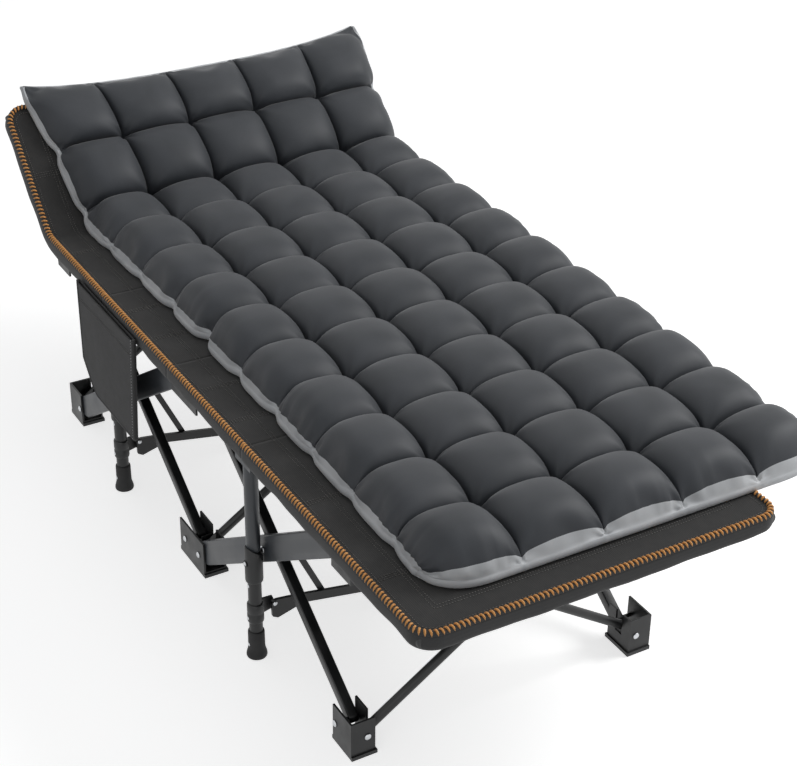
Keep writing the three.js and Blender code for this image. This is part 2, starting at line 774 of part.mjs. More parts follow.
for (const end of [HEAD, FOOT]) {
  const inner = [
    [(end * panelJoint) / 2, deckTop],
    [end * (legFromMiddle - panelJoint / 2), deckTop],
  ];
  add(`deck_middle_${endName(end)}`, deckPanel(inner), deckCloth);
  add(
    `deck_end_${endName(end)}`,
    deckPanel(deckLine(end, legFromMiddle + panelJoint / 2, 0)),
    deckCloth,
  );
}

const mattressLine = deckLine(HEAD, 0, -mattressHeadOverhang, mattressBendRadius).reverse();
mattressLine[mattressLine.length - 1] = [halfLength - mattressFootMargin, deckTop];
const mattressY = -deckWidth / 2 + mattressNearMargin + mattressWidth / 2;
const mattressBase = 2 * touchGap;
const mattressStrip = stripAlong(mattressLine, mattressBase, mattressBase + mattressThickness);
add("mattress", plateXZ(mattressStrip, mattressY, mattressWidth), mattressCloth);

// The pocket hangs on the near edge and opens upwards.
const pocketRight = -pocketFromMiddle;
const pocketLeft = pocketRight - pocketWidth;
const pocketTop = deckTop - 18;
const pocketBottom = pocketTop - pocketHeight;
function pocketOutline(inset) {
  return [
    [pocketLeft + inset, pocketBottom + pocketCornerCut + inset * 0.4],
    [pocketLeft + pocketCornerCut + inset * 0.4, pocketBottom + inset],
    [pocketRight - inset, pocketBottom + inset],
    [pocketRight - inset, pocketTop + (inset > 0 ? 10 : 0)],
    [pocketLeft + inset, pocketTop + (inset > 0 ? 10 : 0)],
  ];
}
const pocketBackY = -(deckWidth / 2 + pocketStandOff);
const pocketDepth = pocketHollow + 2 * pocketWall;
const pocketY = pocketBackY - pocketDepth / 2;
add(
  "side_pocket",
  join(
    cut(
      plateXZ(pocketOutline(0), pocketY, pocketDepth),
      plateXZ(pocketOutline(2 * pocketWall), pocketY, pocketHollow),
    ),
    block(
      [pocketLeft, pocketRight],
      [pocketBackY - pocketWall / 2, -(deckWidth / 2 + touchGap)],
      [pocketTop - 14, pocketTop],
    ),
  ),
  deckCloth,
);

// The group is shifted so that the middle of the base of its bounding box is the origin.
const bounds = new THREE.Box3().setFromObject(cot);
const centre = bounds.getCenter(new THREE.Vector3());
cot.position.set(-centre.x, -centre.y, -bounds.min.z);

export default cot;
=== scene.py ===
"""Looks of a folding cot: steel scissor frame on moulded feet, stitched deck, tufted mattress, side pocket.

Lengths in the property groups are millimetres. A point is first worked out in the cot's own frame, whose
origin lies on the floor between the two middle feet, and place() then puts it in the row frame in metres.
"""

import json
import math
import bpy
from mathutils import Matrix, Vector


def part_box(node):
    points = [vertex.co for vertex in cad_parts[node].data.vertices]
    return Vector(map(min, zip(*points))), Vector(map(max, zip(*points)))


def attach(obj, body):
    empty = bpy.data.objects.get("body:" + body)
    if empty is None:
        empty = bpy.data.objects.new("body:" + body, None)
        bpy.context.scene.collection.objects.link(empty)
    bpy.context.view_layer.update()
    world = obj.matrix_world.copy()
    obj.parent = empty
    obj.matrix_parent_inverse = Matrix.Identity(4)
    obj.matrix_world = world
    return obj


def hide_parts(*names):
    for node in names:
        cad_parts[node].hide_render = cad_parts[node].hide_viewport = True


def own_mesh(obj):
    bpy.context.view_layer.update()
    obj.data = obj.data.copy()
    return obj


bl_info = {
    "name": "Folding cot",
    "version": (1, 0, 0),
    "blender": (4, 5, 0),
    "location": "View3D > Sidebar > Cot",
    "description": "Builds the visible pieces of a folding cot around its packed frame",
    "category": "Object",
}

import bmesh
import bpy
import numpy as np
from mathutils import Matrix

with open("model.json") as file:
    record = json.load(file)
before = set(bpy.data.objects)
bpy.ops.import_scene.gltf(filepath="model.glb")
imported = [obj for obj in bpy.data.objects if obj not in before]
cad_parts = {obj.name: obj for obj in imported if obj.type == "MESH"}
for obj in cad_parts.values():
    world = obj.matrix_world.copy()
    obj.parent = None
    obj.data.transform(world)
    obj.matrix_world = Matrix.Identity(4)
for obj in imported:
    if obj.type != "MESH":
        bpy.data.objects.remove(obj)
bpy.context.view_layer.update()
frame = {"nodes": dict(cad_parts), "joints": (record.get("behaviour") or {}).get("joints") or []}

MM = 0.001
SIDES = {"near": -1, "far": 1}
ENDS = {"head": -1, "foot": 1}
STATIONS = {"head": -1, "middle": 0, "foot": 1}

# Places of the frame's parts in millimetres, from the middle of the cot or down from the deck's top.
TOP_PIN_DROP = 40.0
CROSS_PLANE = 646.0
CROSS_TUBE_OFFSET = 9.5
CORNER_BLOCK = 638.0
CORNER_BLOCK_REACH = 34.0
BLOCK_OUTER_WALL = 324.0
RIVET_STAND = 1.1
# A wave texture at this scale has one band each unit.
WAVE_SCALE = 0.314


def middle_of_feet():
    """The row frame's place of the cot's own origin, on the floor between the middle feet, in metres."""
    near_low, near_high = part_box("foot_block_middle_near")
    far_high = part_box("foot_block_middle_far")[1]
    return np.array([(near_low.x + near_high.x) / 2, (near_low.y + far_high.y) / 2, 0.0])


ORIGIN = middle_of_feet()
PIVOTS = {j["name"]: np.array(j["pos_m"]) for j in frame["joints"] if "pos_m" in j}


def place(points):
    """Millimetres in the cot's own frame to metres in the row frame."""
    return np.asarray(points, float) * MM + ORIGIN


def pivot(joint):
    """A joint's place in millimetres in the cot's own frame."""
    return (PIVOTS[joint] - ORIGIN) / MM


# ---- Sizes and colours a user would change ---------------------------------------------------
def length(name, default, text):
    return bpy.props.FloatProperty(name=name, description=text, default=default, min=0.0, precision=2)


def colour(name, default, text):
    return bpy.props.StringProperty(name=name, description=text + ", sRGB hex", default=default, maxlen=7)


class CotDeckSizes(bpy.types.PropertyGroup):
    """The woven deck, its edge and its stitching, in millimetres."""

    deck_length: length("Length", 1900.0, "Flat length of the deck")
    deck_width: length("Width", 710.0, "Across the deck, edge to edge")
    deck_top: length("Height", 470.0, "Floor to the top of the deck")
    head_bend: length("Head bend", 640.0, "Middle of the cot to the bend at the head end")
    head_angle: bpy.props.FloatProperty(
        name="Head angle",
        description="How far the head end rises above level",
        default=math.radians(44.5),
        subtype="ANGLE",
    )
    bend_radius: length("Bend radius", 60.0, "Radius of the deck's bend")
    hinge_line: length("Hinge line", 325.0, "Middle of the cot to the leg brackets, where panels meet")
    corner_radius: length("Corner radius", 42.0, "Rounding of the deck's corners")
    cloth: length("Cloth", 2.4, "Thickness of the two layers sewn together")
    band_drop: length("Side band", 27.0, "How far the side band hangs")
    welt_radius: length("Welt radius", 5.2, "Radius of the cord under the whip stitch")
    stitch_pitch: length("Stitch pitch", 9.0, "Between two whip stitches")
    stitch_radius: length("Stitch radius", 2.1, "Half the thickness of the whip stitch's yarn")
    topstitch_inset: length("Topstitch inset", 62.0, "Deck edge to the first line of topstitching")
    sag: length("Sag", 2.5, "How far the deck's middle hangs between the rails")


class CotMattressSizes(bpy.types.PropertyGroup):
    """The tufted mattress, in millimetres."""

    rows: bpy.props.IntProperty(name="Rows", description="Puffs along the mattress", default=12, min=2)
    columns: bpy.props.IntProperty(name="Columns", description="Puffs across it", default=5, min=2)
    puff_height: length("Puff height", 80.0, "Underside to the crown of a puff")
    tuft_height: length("Tuft height", 9.0, "Underside to a tuft")
    band_height: length("Band height", 16.0, "Pale underside shell that shows along the edges")
    near_edge: length("Near edge", 280.0, "Middle of the cot to the near edge")
    far_edge: length("Far edge", 520.0, "Middle of the cot to the far edge, beyond the deck")
    foot_edge: length("Foot edge", 875.0, "Middle of the cot to the foot edge")
    head_rise: length("Head rise", 335.0, "Head bend to the head edge, up the slope")
    bend_radius: length("Bend radius", 110.0, "Radius of the underside's bend")
    corner_radius: length("Corner radius", 95.0, "Rounding of the foot corners")
    waist: length("Waist", 20.0, "How far the near edge draws in at mid-length")
    head_point: length("Head point", 30.0, "How far a head corner stands out sideways")


class CotFrameSizes(bpy.types.PropertyGroup):
    """Bars, tubes, legs and rivets, in millimetres."""

    bar_height: length("Bar height", 50.0, "Wide bar, edge to edge")
    bar_thickness: length("Bar thickness", 17.0, "Wide bar, face to face")
    bar_end_radius: length("Bar end radius", 17.0, "Wide bar's rounded ends")
    bar_plane: length("Bar plane", 310.5, "Middle of the cot to the wide bars' centre plane")
    tube_size: length("Tube size", 20.0, "Square tube, across flats")
    tube_plane: length("Tube plane", 290.0, "Middle of the cot to the square tubes' centre plane")
    cross_diameter: length("Cross tube", 18.0, "Diameter of a tube across the width")
    rail_diameter: length("Rail", 25.0, "Diameter of a side rail")
    leg_diameter: length("Leg", 27.0, "Diameter of a leg's upper tube")
    leg_lower_diameter: length("Lower leg", 26.0, "Diameter of a leg's lower tube")
    rivet_diameter: length("Rivet", 13.0, "Diameter of a rivet's head")
    edge_radius: length("Edge radius", 1.4, "Rounding of a moulded block's edges")


class CotColours(bpy.types.PropertyGroup):
    """Colours of the finishes."""

    # The deck's dark and light colours are the ends of one ramp, driven by the dye mottle and by a painted
    # highlight on each yarn's crown.
    deck_dark: colour("Deck, dark", "#101010", "Darker yarn of the deck")
    deck_light: colour("Deck, light", "#252423", "Lighter yarn of the deck")
    edge_yarn: colour("Edge yarn", "#f6b86e", "Whip stitch")
    # The mattress cover's dark colour is a painted shade, as in the folds, and its light colour is a painted
    # light, as on the crowns. The cover's material mixes them in patches by a coarse noise.
    cover_painted_shade: colour("Mattress, dark", "#25292e", "Mattress cover in the folds")
    top_light: colour("Mattress, light", "#393c41", "Mattress cover on the crowns")
    shell: colour("Mattress underside", "#e2e4e6", "Pale underside of the mattress")
    grey_paint: colour("Grey paint", "#43474c", "Powder coat on bars and legs")
    black_paint: colour("Black paint", "#111213", "Powder coat on tubes")
    black_plastic: colour("Black plastic", "#121314", "Moulded feet and brackets")
    steel: colour("Rivet steel", "#c9cbce", "Bright rivets")


def deck_sizes():
    return bpy.context.scene.cot_deck


def mattress_sizes():
    return bpy.context.scene.cot_mattress


def frame_sizes():
    return bpy.context.scene.cot_frame


def colours():
    return bpy.context.scene.cot_colours


# ---- Materials --------------------------------------------------------------------------------
def linear(hex_colour):
    """An sRGB hex colour as linear red, green, blue and alpha."""
    parts = [int(hex_colour[i : i + 2], 16) / 255 for i in (1, 3, 5)]
    return [p / 12.92 if p <= 0.04045 else ((p + 0.055) / 1.055) ** 2.4 for p in parts] + [1.0]


def add_node(tree, kind, settings=None, links=None):
    """Adds a node; a setting goes to the input of that name or number, or else to the node's property."""
    made = tree.nodes.new(kind)
    for key, value in (settings or {}).items():
        if isinstance(key, str) and hasattr(made, key) and key not in made.inputs:
            setattr(made, key, value)
        else:
            made.inputs[key].default_value = value
    for key, socket in (links or {}).items():
        tree.links.new(socket, made.inputs[key])
    return made


def new_material(name):
    """An empty node material with its output, and the node tree."""
    made = bpy.data.materials.new(name)
    made.use_nodes = True
    made.node_tree.nodes.clear()
    return made, made.node_tree


def ramp_of(tree, source, low, high, start=0.35, end=0.65):
    """Two colours mixed by a value, through a ramp from start to end."""
    ramp = add_node(tree, "ShaderNodeValToRGB", links={0: source})
    ramp.color_ramp.elements[0].position = start
    ramp.color_ramp.elements[1].position = end
    ramp.color_ramp.elements[0].color = linear(low)
    ramp.color_ramp.elements[1].color = linear(high)
    return ramp


def finish_surface(tree, shader):
    add_node(tree, "ShaderNodeOutputMaterial", links={0: shader.outputs[0]})


def textured_material(name, cloth=False):
    """An empty material with its coordinates: the cloth's UV map in metres, or else the object's own."""
    made, tree = new_material(name)
    if cloth:
        return made, tree, add_node(tree, "ShaderNodeUVMap", {"uv_map": "cloth"}).outputs[0]
    return made, tree, add_node(tree, "ShaderNodeTexCoord").outputs["Object"]


def texture(tree, kind, size, where, settings=None):
    """A texture's output, the factor for waves, with features size millimetres apart."""
    scale = (WAVE_SCALE if kind == "Wave" else 1) / (size * MM)
    made = add_node(tree, f"ShaderNodeTex{kind}", {"Scale": scale, **(settings or {})}, {0: where})
    return made.outputs["Fac" if kind == "Wave" else 0]


def rough_between(tree, source, low, high):
    """Roughness that runs from low to high as a noise runs through its usual range."""
    limits = {"From Min": 0.3, "From Max": 0.7, "To Min": low, "To Max": high}
    return add_node(tree, "ShaderNodeMapRange", limits, {"Value": source})


def bump_of(tree, source, strength, depth):
    """A bump of depth millimetres."""
    settings = {"Strength": strength, "Distance": depth * MM}
    return add_node(tree, "ShaderNodeBump", settings, {"Height": source})


def surface(tree, settings, links):
    """The material's shader, with the nodes linked to its inputs."""
    sockets = {key: made.outputs[0] for key, made in links.items()}
    finish_surface(tree, add_node(tree, "ShaderNodeBsdfPrincipled", settings, sockets))


def powder_coat(name, low, high, roughness):
    """Powder coat on steel tube: a baked polymer film with a fine orange peel, satin and not metallic."""
    made, tree, where = textured_material(name)
    # Orange peel is about 1.5 mm across.
    peel = texture(tree, "Noise", 1.5, where, {"Detail": 3.0})
    wear = texture(tree, "Noise", 60, where, {"Detail": 6.0})
    paint = ramp_of(tree, wear, low, high, 0.3, 0.75)
    rough = rough_between(tree, wear, roughness - 0.07, roughness + 0.09)
    bump = bump_of(tree, peel, 0.12, 0.1)
    surface(tree, {"IOR": 1.5}, {"Base Color": paint, "Roughness": rough, "Normal": bump})
    return made


def moulded_plastic(name, low, high, roughness, grain):
    """Moulded glass-filled nylon or rubber: a spark-eroded grain, with faint flow marks."""
    made, tree, where = textured_material(name)
    fine = texture(tree, "Voronoi", grain, where)
    flow = texture(tree, "Noise", 35, where, {"Detail": 5.0})
    tint = ramp_of(tree, flow, low, high, 0.3, 0.7)
    rough = rough_between(tree, flow, roughness - 0.06, roughness + 0.08)
    bump = bump_of(tree, fine, 0.25, 0.12)
    surface(tree, {"IOR": 1.5}, {"Base Color": tint, "Roughness": rough, "Normal": bump})
    return made


def bright_steel(name, base):
    """Zinc-plated steel rivet, pressed to a dome: bright metal with fine scratches."""
    made, tree, where = textured_material(name)
    scratch = texture(tree, "Noise", 2, where, {"Detail": 4.0})
    rough = add_node(tree, "ShaderNodeMapRange", {"To Min": 0.2, "To Max": 0.42}, {"Value": scratch})
    surface(tree, {"Base Color": linear(base), "Metallic": 1.0}, {"Roughness": rough})
    return made


def woven_cloth(name, low, high, thread, mottle, roughness, sheen, relief):
    """Woven polyester: crossed yarns with a painted highlight on the crown of each, mottled where the dye took
    unevenly.

    thread is the drawn yarn spacing and mottle the size of the patches, both in millimetres.
    """
    made, tree, where = textured_material(name, cloth=True)
    waves = {}
    for number, direction in enumerate("XY"):
        settings = {"bands_direction": direction, "Distortion": 1.2, "Detail": 1.0}
        waves[number] = texture(tree, "Wave", thread, where, settings)
    weave = add_node(tree, "ShaderNodeMath", {"operation": "MULTIPLY"}, waves).outputs[0]
    patches = texture(tree, "Noise", mottle, where, {"Detail": 7.0, "Roughness": 0.68})
    # The tint is the dye mottle plus a painted highlight where the yarns cross.
    both = add_node(tree, "ShaderNodeMath", {"operation": "MULTIPLY_ADD", 1: 0.22}, {0: weave, 2: patches})
    tint = ramp_of(tree, both.outputs[0], low, high, 0.38, 0.78)
    bump = bump_of(tree, weave, 0.5, relief)
    settings = {"Roughness": roughness, "Sheen Weight": sheen, "Sheen Roughness": 0.5}
    surface(tree, settings, {"Base Color": tint, "Normal": bump})
    return made


def brushed_microfibre(name, low, high):
    """Brushed polyester microfibre: a short soft nap that catches light at grazing angles, a little satin."""
    made, tree, where = textured_material(name, cloth=True)
    nap = texture(tree, "Noise", 1.2, where, {"Detail": 4.0, "Roughness": 0.7})
    # For the cover, this noise paints patches of shade and light between its shaded colour and its lit colour.
    # For the pale lining, it varies the tone of its own colour.
    shade_light_and_tone_noise = texture(tree, "Noise", 90, where, {"Detail": 4.0, "Distortion": 0.4})
    tint = ramp_of(tree, shade_light_and_tone_noise, low, high, 0.25, 0.75)
    bump = bump_of(tree, nap, 0.22, 0.3)
    settings = {"Roughness": 0.56, "Sheen Weight": 0.22, "Sheen Roughness": 0.45, "IOR": 1.45}
    surface(tree, settings, {"Base Color": tint, "Normal": bump})
    return made


def yarn(name, low, high):
    """Twisted polyester yarn: fine diagonal plies, a little glossy."""
    made, tree, where = textured_material(name)
    plies = texture(tree, "Wave", 1.2, where, {"bands_direction": "DIAGONAL", "Distortion": 2.0})
    tint = ramp_of(tree, plies, low, high, 0.1, 0.9)
    bump = bump_of(tree, plies, 0.4, 0.2)
    surface(tree, {"Roughness": 0.6, "Sheen Weight": 0.15}, {"Base Color": tint, "Normal": bump})
    return made


FINISHES = {}


def make_finishes():
    """Every material once, by the name that the pieces ask for."""
    c = colours()
    FINISHES.update(
        grey_paint=powder_coat("grey_powder_coat", "#36393d", c.grey_paint, 0.4),
        black_paint=powder_coat("black_powder_coat", "#0a0b0c", c.black_paint, 0.36),
        plastic=moulded_plastic("black_glass_filled_nylon", "#0c0d0e", c.black_plastic, 0.42, 0.9),
        rubber=moulded_plastic("black_rubber", "#0b0b0c", "#131314", 0.68, 1.4),
        steel=bright_steel("zinc_plated_steel", c.steel),
        deck=woven_cloth("coated_polyester_twill", c.deck_dark, c.deck_light, 3.2, 26.0, 0.82, 0.08, 0.35),
        mesh_cloth=woven_cloth("pocket_mesh_polyester", "#121213", "#2c2c2d", 4.0, 30.0, 0.8, 0.05, 0.8),
        binding=woven_cloth("binding_tape", "#0a0a0b", "#151516", 2.4, 18.0, 0.7, 0.05, 0.25),
        # The cover mixes its painted shade colour and its painted light colour in coarse patches.
        cover=brushed_microfibre("brushed_microfibre", c.cover_painted_shade, c.top_light),
        shell=brushed_microfibre("pale_lining", "#c0c3c6", c.shell),
        edge_yarn=yarn("orange_polyester_yarn", "#d48a3e", c.edge_yarn),
        dark_yarn=yarn("dark_polyester_yarn", "#504f4d", "#72706c"),
        light_yarn=yarn("light_polyester_yarn", "#8e8f90", "#c2c3c4"),
    )


# ---- Surfaces ---------------------------------------------------------------------------------
def new_piece(name, points, faces, finish, cloth_uv=None, smooth=True, face_finish=None):
    """A mesh piece at the origin from points in metres in the row frame, with its UV map in metres."""
    mesh = bpy.data.meshes.new(name)
    mesh.from_pydata(np.asarray(points, float).reshape(-1, 3), [], np.asarray(faces).tolist())
    mesh.update()
    for f in finish if isinstance(finish, list) else [finish]:
        mesh.materials.append(FINISHES[f])
    if face_finish is not None:
        mesh.polygons.foreach_set("material_index", np.asarray(face_finish, np.int32))
    if cloth_uv is not None:
        corner = np.empty(len(mesh.loops), np.int32)
        mesh.loops.foreach_get("vertex_index", corner)
        layer = mesh.uv_layers.new(name="cloth")
        layer.data.foreach_set("uv", np.asarray(cloth_uv, float).reshape(-1, 2)[corner].ravel())
    mesh.polygons.foreach_set("use_smooth", np.full(len(mesh.polygons), smooth))
    made = bpy.data.objects.new(name, mesh)
    bpy.context.scene.collection.objects.link(made)
    return made


def grid_faces(rows, columns, first=0, wrap_rows=False, wrap_columns=False, flip=False):
    """Quads of a grid of points in row order, closed round in either direction if asked."""
    r = np.arange(rows if wrap_rows else rows - 1)[:, None]
    c = np.arange(columns if wrap_columns else columns - 1)[None, :]
    r2, c2 = (r + 1) % rows, (c + 1) % columns
    corners = [r * columns + c, r * columns + c2, r2 * columns + c2, r2 * columns + c]
    quads = np.stack([np.broadcast_to(k, (len(r), c.shape[1])) for k in corners], -1).reshape(-1, 4)
    return (quads[:, ::-1] if flip else quads) + first


def unit(vectors):
    return vectors / np.maximum(np.linalg.norm(vectors, axis=-1, keepdims=True), 1e-12)


def along_path(points):
    """Unit tangents of a path of points, by central differences."""
    return unit(np.gradient(np.asarray(points, float), axis=0))


def outward_fixed(piece):
    """Turns a closed mesh's faces outwards and merges its doubles."""
    work = bmesh.new()
    work.from_mesh(piece.data)
    bmesh.ops.remove_doubles(work, verts=work.verts, dist=1e-6)
    bmesh.ops.recalc_face_normals(work, faces=work.faces)
    work.to_mesh(piece.data)
    work.free()
    return piece


def swept_tube(name, path, radii, finish, sides=28):
    """A round tube: at each point of the path a circle of its radius, square to the path, with domed ends.

    point(i, angle) = path(i) + radius(i) * (cos(angle) * first + sin(angle) * second).
    """
    path = np.asarray(path, float)
    radii = np.broadcast_to(np.asarray(radii, float), len(path)).copy()
    tangent = along_path(path)
    guide = np.array([0.0, 0.0, 1.0]) if abs(tangent[:, 2]).mean() < 0.9 else np.array([1.0, 0.0, 0.0])
    first = unit(np.cross(tangent, guide))
    second = np.cross(tangent, first)
    angle = np.linspace(0, 2 * math.pi, sides, endpoint=False)[None, :, None]
    rings = path[:, None] + radii[:, None, None] * (
        np.cos(angle) * first[:, None] + np.sin(angle) * second[:, None]
    )
    points = np.concatenate([path[:1], rings.reshape(-1, 3), path[-1:]])
    faces = grid_faces(len(path), sides, 1, wrap_columns=True).tolist()
    last = 1 + (len(path) - 1) * sides
    k = np.arange(sides)
    faces += np.stack([np.zeros(sides, int), 1 + (k + 1) % sides, 1 + k], -1).tolist()
    faces += np.stack([np.full(sides, len(points) - 1), last + k, last + (k + 1) % sides], -1).tolist()
    mesh_points = place(points)
    made = new_piece_mixed(name, mesh_points, faces, finish)
    return outward_fixed(made)


def new_piece_mixed(name, points, faces, finish):
    """The same as new_piece for faces of unlike sizes."""
    mesh = bpy.data.meshes.new(name)
    mesh.from_pydata(points, [], faces)
    mesh.update()
    mesh.materials.append(FINISHES[finish])
    mesh.polygons.foreach_set("use_smooth", np.ones(len(mesh.polygons), bool))
    made = bpy.data.objects.new(name, mesh)
    bpy.context.scene.collection.objects.link(made)
    return made


def turned(name, profile, centre, axis, finish, sides=36):
    """A turned piece: (radius, height) pairs carried round an axis through centre, from axis to axis."""
    profile = np.asarray(profile, float)
    axis = unit(np.asarray(axis, float))
    guide = np.array([1.0, 0.0, 0.0]) if abs(axis[0]) < 0.9 else np.array([0.0, 1.0, 0.0])
    first = unit(np.cross(axis, guide))
    second = np.cross(axis, first)
    angle = np.linspace(0, 2 * math.pi, sides, endpoint=False)[None, :, None]
    rings = (
        np.asarray(centre, float)
        + profile[:, 1, None, None] * axis
        + profile[:, 0, None, None] * (np.cos(angle) * first + np.sin(angle) * second)
    )
    made = new_piece(name, place(rings), grid_faces(len(profile), sides, wrap_columns=True), finish)
    return outward_fixed(made)


def crisp(piece, angle=35):
    """Smooth shading with sharp edges past an angle."""
    work = bmesh.new()
    work.from_mesh(piece.data)
    for e in work.edges:
        e.smooth = len(e.link_faces) != 2 or e.calc_face_angle(0) < math.radians(angle)
    work.to_mesh(piece.data)
    work.free()
    return piece


def rounded_plate(name, outline, thickness, edge, to_space, finish):
    """A flat piece with rounded edges. The outline's points lie in its own plane, anticlockwise; towards
    each face they move in by edge * (1 - cos(a)), thickness / 2 - edge * (1 - sin(a)) off the middle plane."""
    outline = np.asarray(outline, float)
    before = unit(outline - np.roll(outline, 1, 0))
    after = unit(np.roll(outline, -1, 0) - outline)
    miter = unit(before + after)
    normal = np.stack([miter[:, 1], -miter[:, 0]], -1)
    reach = 1 / np.maximum(np.abs((before * miter).sum(-1)), 0.35)
    angles = np.linspace(0, math.pi / 2, 5)
    rows = []
    for face, steps in ((-1, angles[::-1]), (1, angles)):
        for a in steps:
            inset = edge * (1 - math.cos(a))
            out = face * (thickness / 2 - edge * (1 - math.sin(a)))
            flat = outline - normal * (inset * reach)[:, None]
            rows.append(np.column_stack([flat, np.full(len(flat), out)]))
    rows = np.array(rows)
    count = len(outline)
    faces = grid_faces(len(rows), count, wrap_columns=True).tolist()
    faces += [list(range(count))[::-1], list(range((len(rows) - 1) * count, len(rows) * count))]
    points = place(to_space(rows.reshape(-1, 3)))
    made = new_piece_mixed(name, points, faces, finish)
    return crisp(outward_fixed(made), 40)


def bar_outline(span, height, end_radius, arc=9):
    """Side outline of a bar from pivot to pivot: straight edges, shoulders, and round ends."""
    half = height / 2
    shoulder = end_radius + (half - end_radius) * 0.6
    turn = np.linspace(-math.pi / 2, math.pi / 2, arc)
    right = np.column_stack([span + end_radius * np.cos(turn), end_radius * np.sin(turn)])
    left = np.column_stack([-end_radius * np.cos(turn), -end_radius * np.sin(turn)])
    if half - end_radius < 0.5:
        return np.concatenate([right, left])
    return np.concatenate(
        [
            [[shoulder, -half], [span - shoulder, -half]],
            right,
            [[span - shoulder, half], [shoulder, half]],
            left,
        ]
    )


def softened(node, body, finish, width):
    """A copy of a CAD node with its doubles merged and its sharp edges rounded, in the node's place."""
    source = frame["nodes"][node]
    mesh = source.data.copy()
    work = bmesh.new()
    work.from_mesh(mesh)
    bmesh.ops.remove_doubles(work, verts=work.verts, dist=1e-5)
    bmesh.ops.dissolve_limit(work, angle_limit=math.radians(0.5), verts=work.verts, edges=work.edges)
    work.to_mesh(mesh)
    work.free()
    mesh.materials.clear()
    mesh.materials.append(FINISHES[finish])
    made = bpy.data.objects.new(node + "_moulding", mesh)
    bpy.context.scene.collection.objects.link(made)
    bevel = made.modifiers.new("rounded edges", "BEVEL")
    bevel.width = width * MM
    bevel.segments = 2
    bevel.limit_method = "ANGLE"
    bevel.angle_limit = math.radians(50)
    bevel.use_clamp_overlap = True
    bevel.harden_normals = False
    mesh.polygons.foreach_set("use_smooth", np.zeros(len(mesh.polygons), bool))
    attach(made, body)
    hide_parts(node)
    return made


def rivets(name, body, heads, diameter, finish="steel"):
    """Pressed rivet heads: each is a dome, height * (1 - (r / radius) ** 2), on a short rim, in one mesh.

    heads are pairs of a centre on the surface and the way that it faces.
    """
    radius = diameter / 2
    share = np.array([0.0, 0.35, 0.65, 0.88, 1.0, 1.0])
    height = np.array([1.0, 0.9, 0.66, 0.36, 0.16, -0.25]) * radius * 0.5
    sides = 18
    angle = np.linspace(0, 2 * math.pi, sides, endpoint=False)
    points, faces = [], []
    for centre, facing in heads:
        axis = unit(np.asarray(facing, float))
        guide = np.array([0.0, 0.0, 1.0]) if abs(axis[2]) < 0.9 else np.array([1.0, 0.0, 0.0])
        first = unit(np.cross(axis, guide))
        second = np.cross(axis, first)
        ring = np.cos(angle)[None, :, None] * first + np.sin(angle)[None, :, None] * second
        rows = np.asarray(centre, float) + height[:, None, None] * axis + radius * share[:, None, None] * ring
        base = sum(len(p) for p in points)
        faces += grid_faces(len(share), sides, base, wrap_columns=True).tolist()
        faces.append(list(range(base + (len(share) - 1) * sides, base + len(share) * sides)))
        points.append(rows.reshape(-1, 3))
    made = outward_fixed(new_piece_mixed(name, place(np.concatenate(points)), faces, finish))
    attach(made, body)
    return made


def capsules(name, starts, middles, ends, radius, body, finish, slot_name, sides=6, steps=5):
    """Short bent yarns, one for each start, middle and end: a curve through the three points,
    (1 - t)(1 - 2t) start + 4t(1 - t) middle + t(2t - 1) end, with a radius that is nothing at the tips."""
    t = np.linspace(0, 1, steps)[None, :, None]
    a, b, c = (np.asarray(p, float)[:, None] for p in (starts, middles, ends))
    line = (1 - t) * (1 - 2 * t) * a + 4 * t * (1 - t) * b + t * (2 * t - 1) * c
    tangent = unit(np.gradient(line, axis=1))
    guide = unit(b - (a + c) / 2 + 1e-6)
    first = unit(np.cross(tangent, np.broadcast_to(guide, tangent.shape)))
    second = np.cross(tangent, first)
    swell = radius * np.sqrt(np.clip(1 - (2 * t[..., 0] - 1) ** 4, 0.0, 1))[..., None, None]
    angle = np.linspace(0, 2 * math.pi, sides, endpoint=False)[None, None, :, None]
    circle = np.cos(angle) * first[:, :, None] + np.sin(angle) * second[:, :, None]
    rings = line[:, :, None] + swell * circle
    one = grid_faces(steps, sides, wrap_columns=True)
    count = len(rings)
    faces = (one[None] + (np.arange(count) * steps * sides)[:, None, None]).reshape(-1, 4)
    made = outward_fixed(new_piece(name, place(rings.reshape(-1, 3)), faces, finish))
    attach(made, body)
    return made


# ---- The lying surface in side view -----------------------------------------------------------
def bed_line(u, radius):
    """Side view of the bed: level, then an arc of that radius, then a straight rise at the head angle.

    u runs along the cloth, positive towards the foot. Returns x, z, and the upward normal's x and z.
    """
    d = deck_sizes()
    start = d.head_bend - radius * math.tan(d.head_angle / 2)
    past = -np.asarray(u, float) - start
    turned_by = np.clip(past / radius, 0, d.head_angle)
    beyond = np.maximum(past - radius * d.head_angle, 0)
    x = -(start + np.minimum(past, 0) + radius * np.sin(turned_by) + beyond * math.cos(d.head_angle))
    z = d.deck_top + radius * (1 - np.cos(turned_by)) + beyond * math.sin(d.head_angle)
    return x, z, np.sin(turned_by), np.cos(turned_by)


def head_reach(rise, radius):
    """Cloth length from the middle to a point that lies rise up the slope from the bend's corner."""
    d = deck_sizes()
    tangent = radius * math.tan(d.head_angle / 2)
    return d.head_bend - tangent + radius * d.head_angle + rise - tangent


def over_bed(u, y, height, radius):
    """Points at cloth length u, across y and height above the bed line, in the cot's own frame."""
    x, z, nx, nz = bed_line(u, radius)
    return np.stack(np.broadcast_arrays(x + nx * height, y, z + nz * height), -1)


# ---- Operators --------------------------------------------------------------------------------
class PieceOperator:
    """What the piece operators share."""

    bl_options = {"REGISTER"}


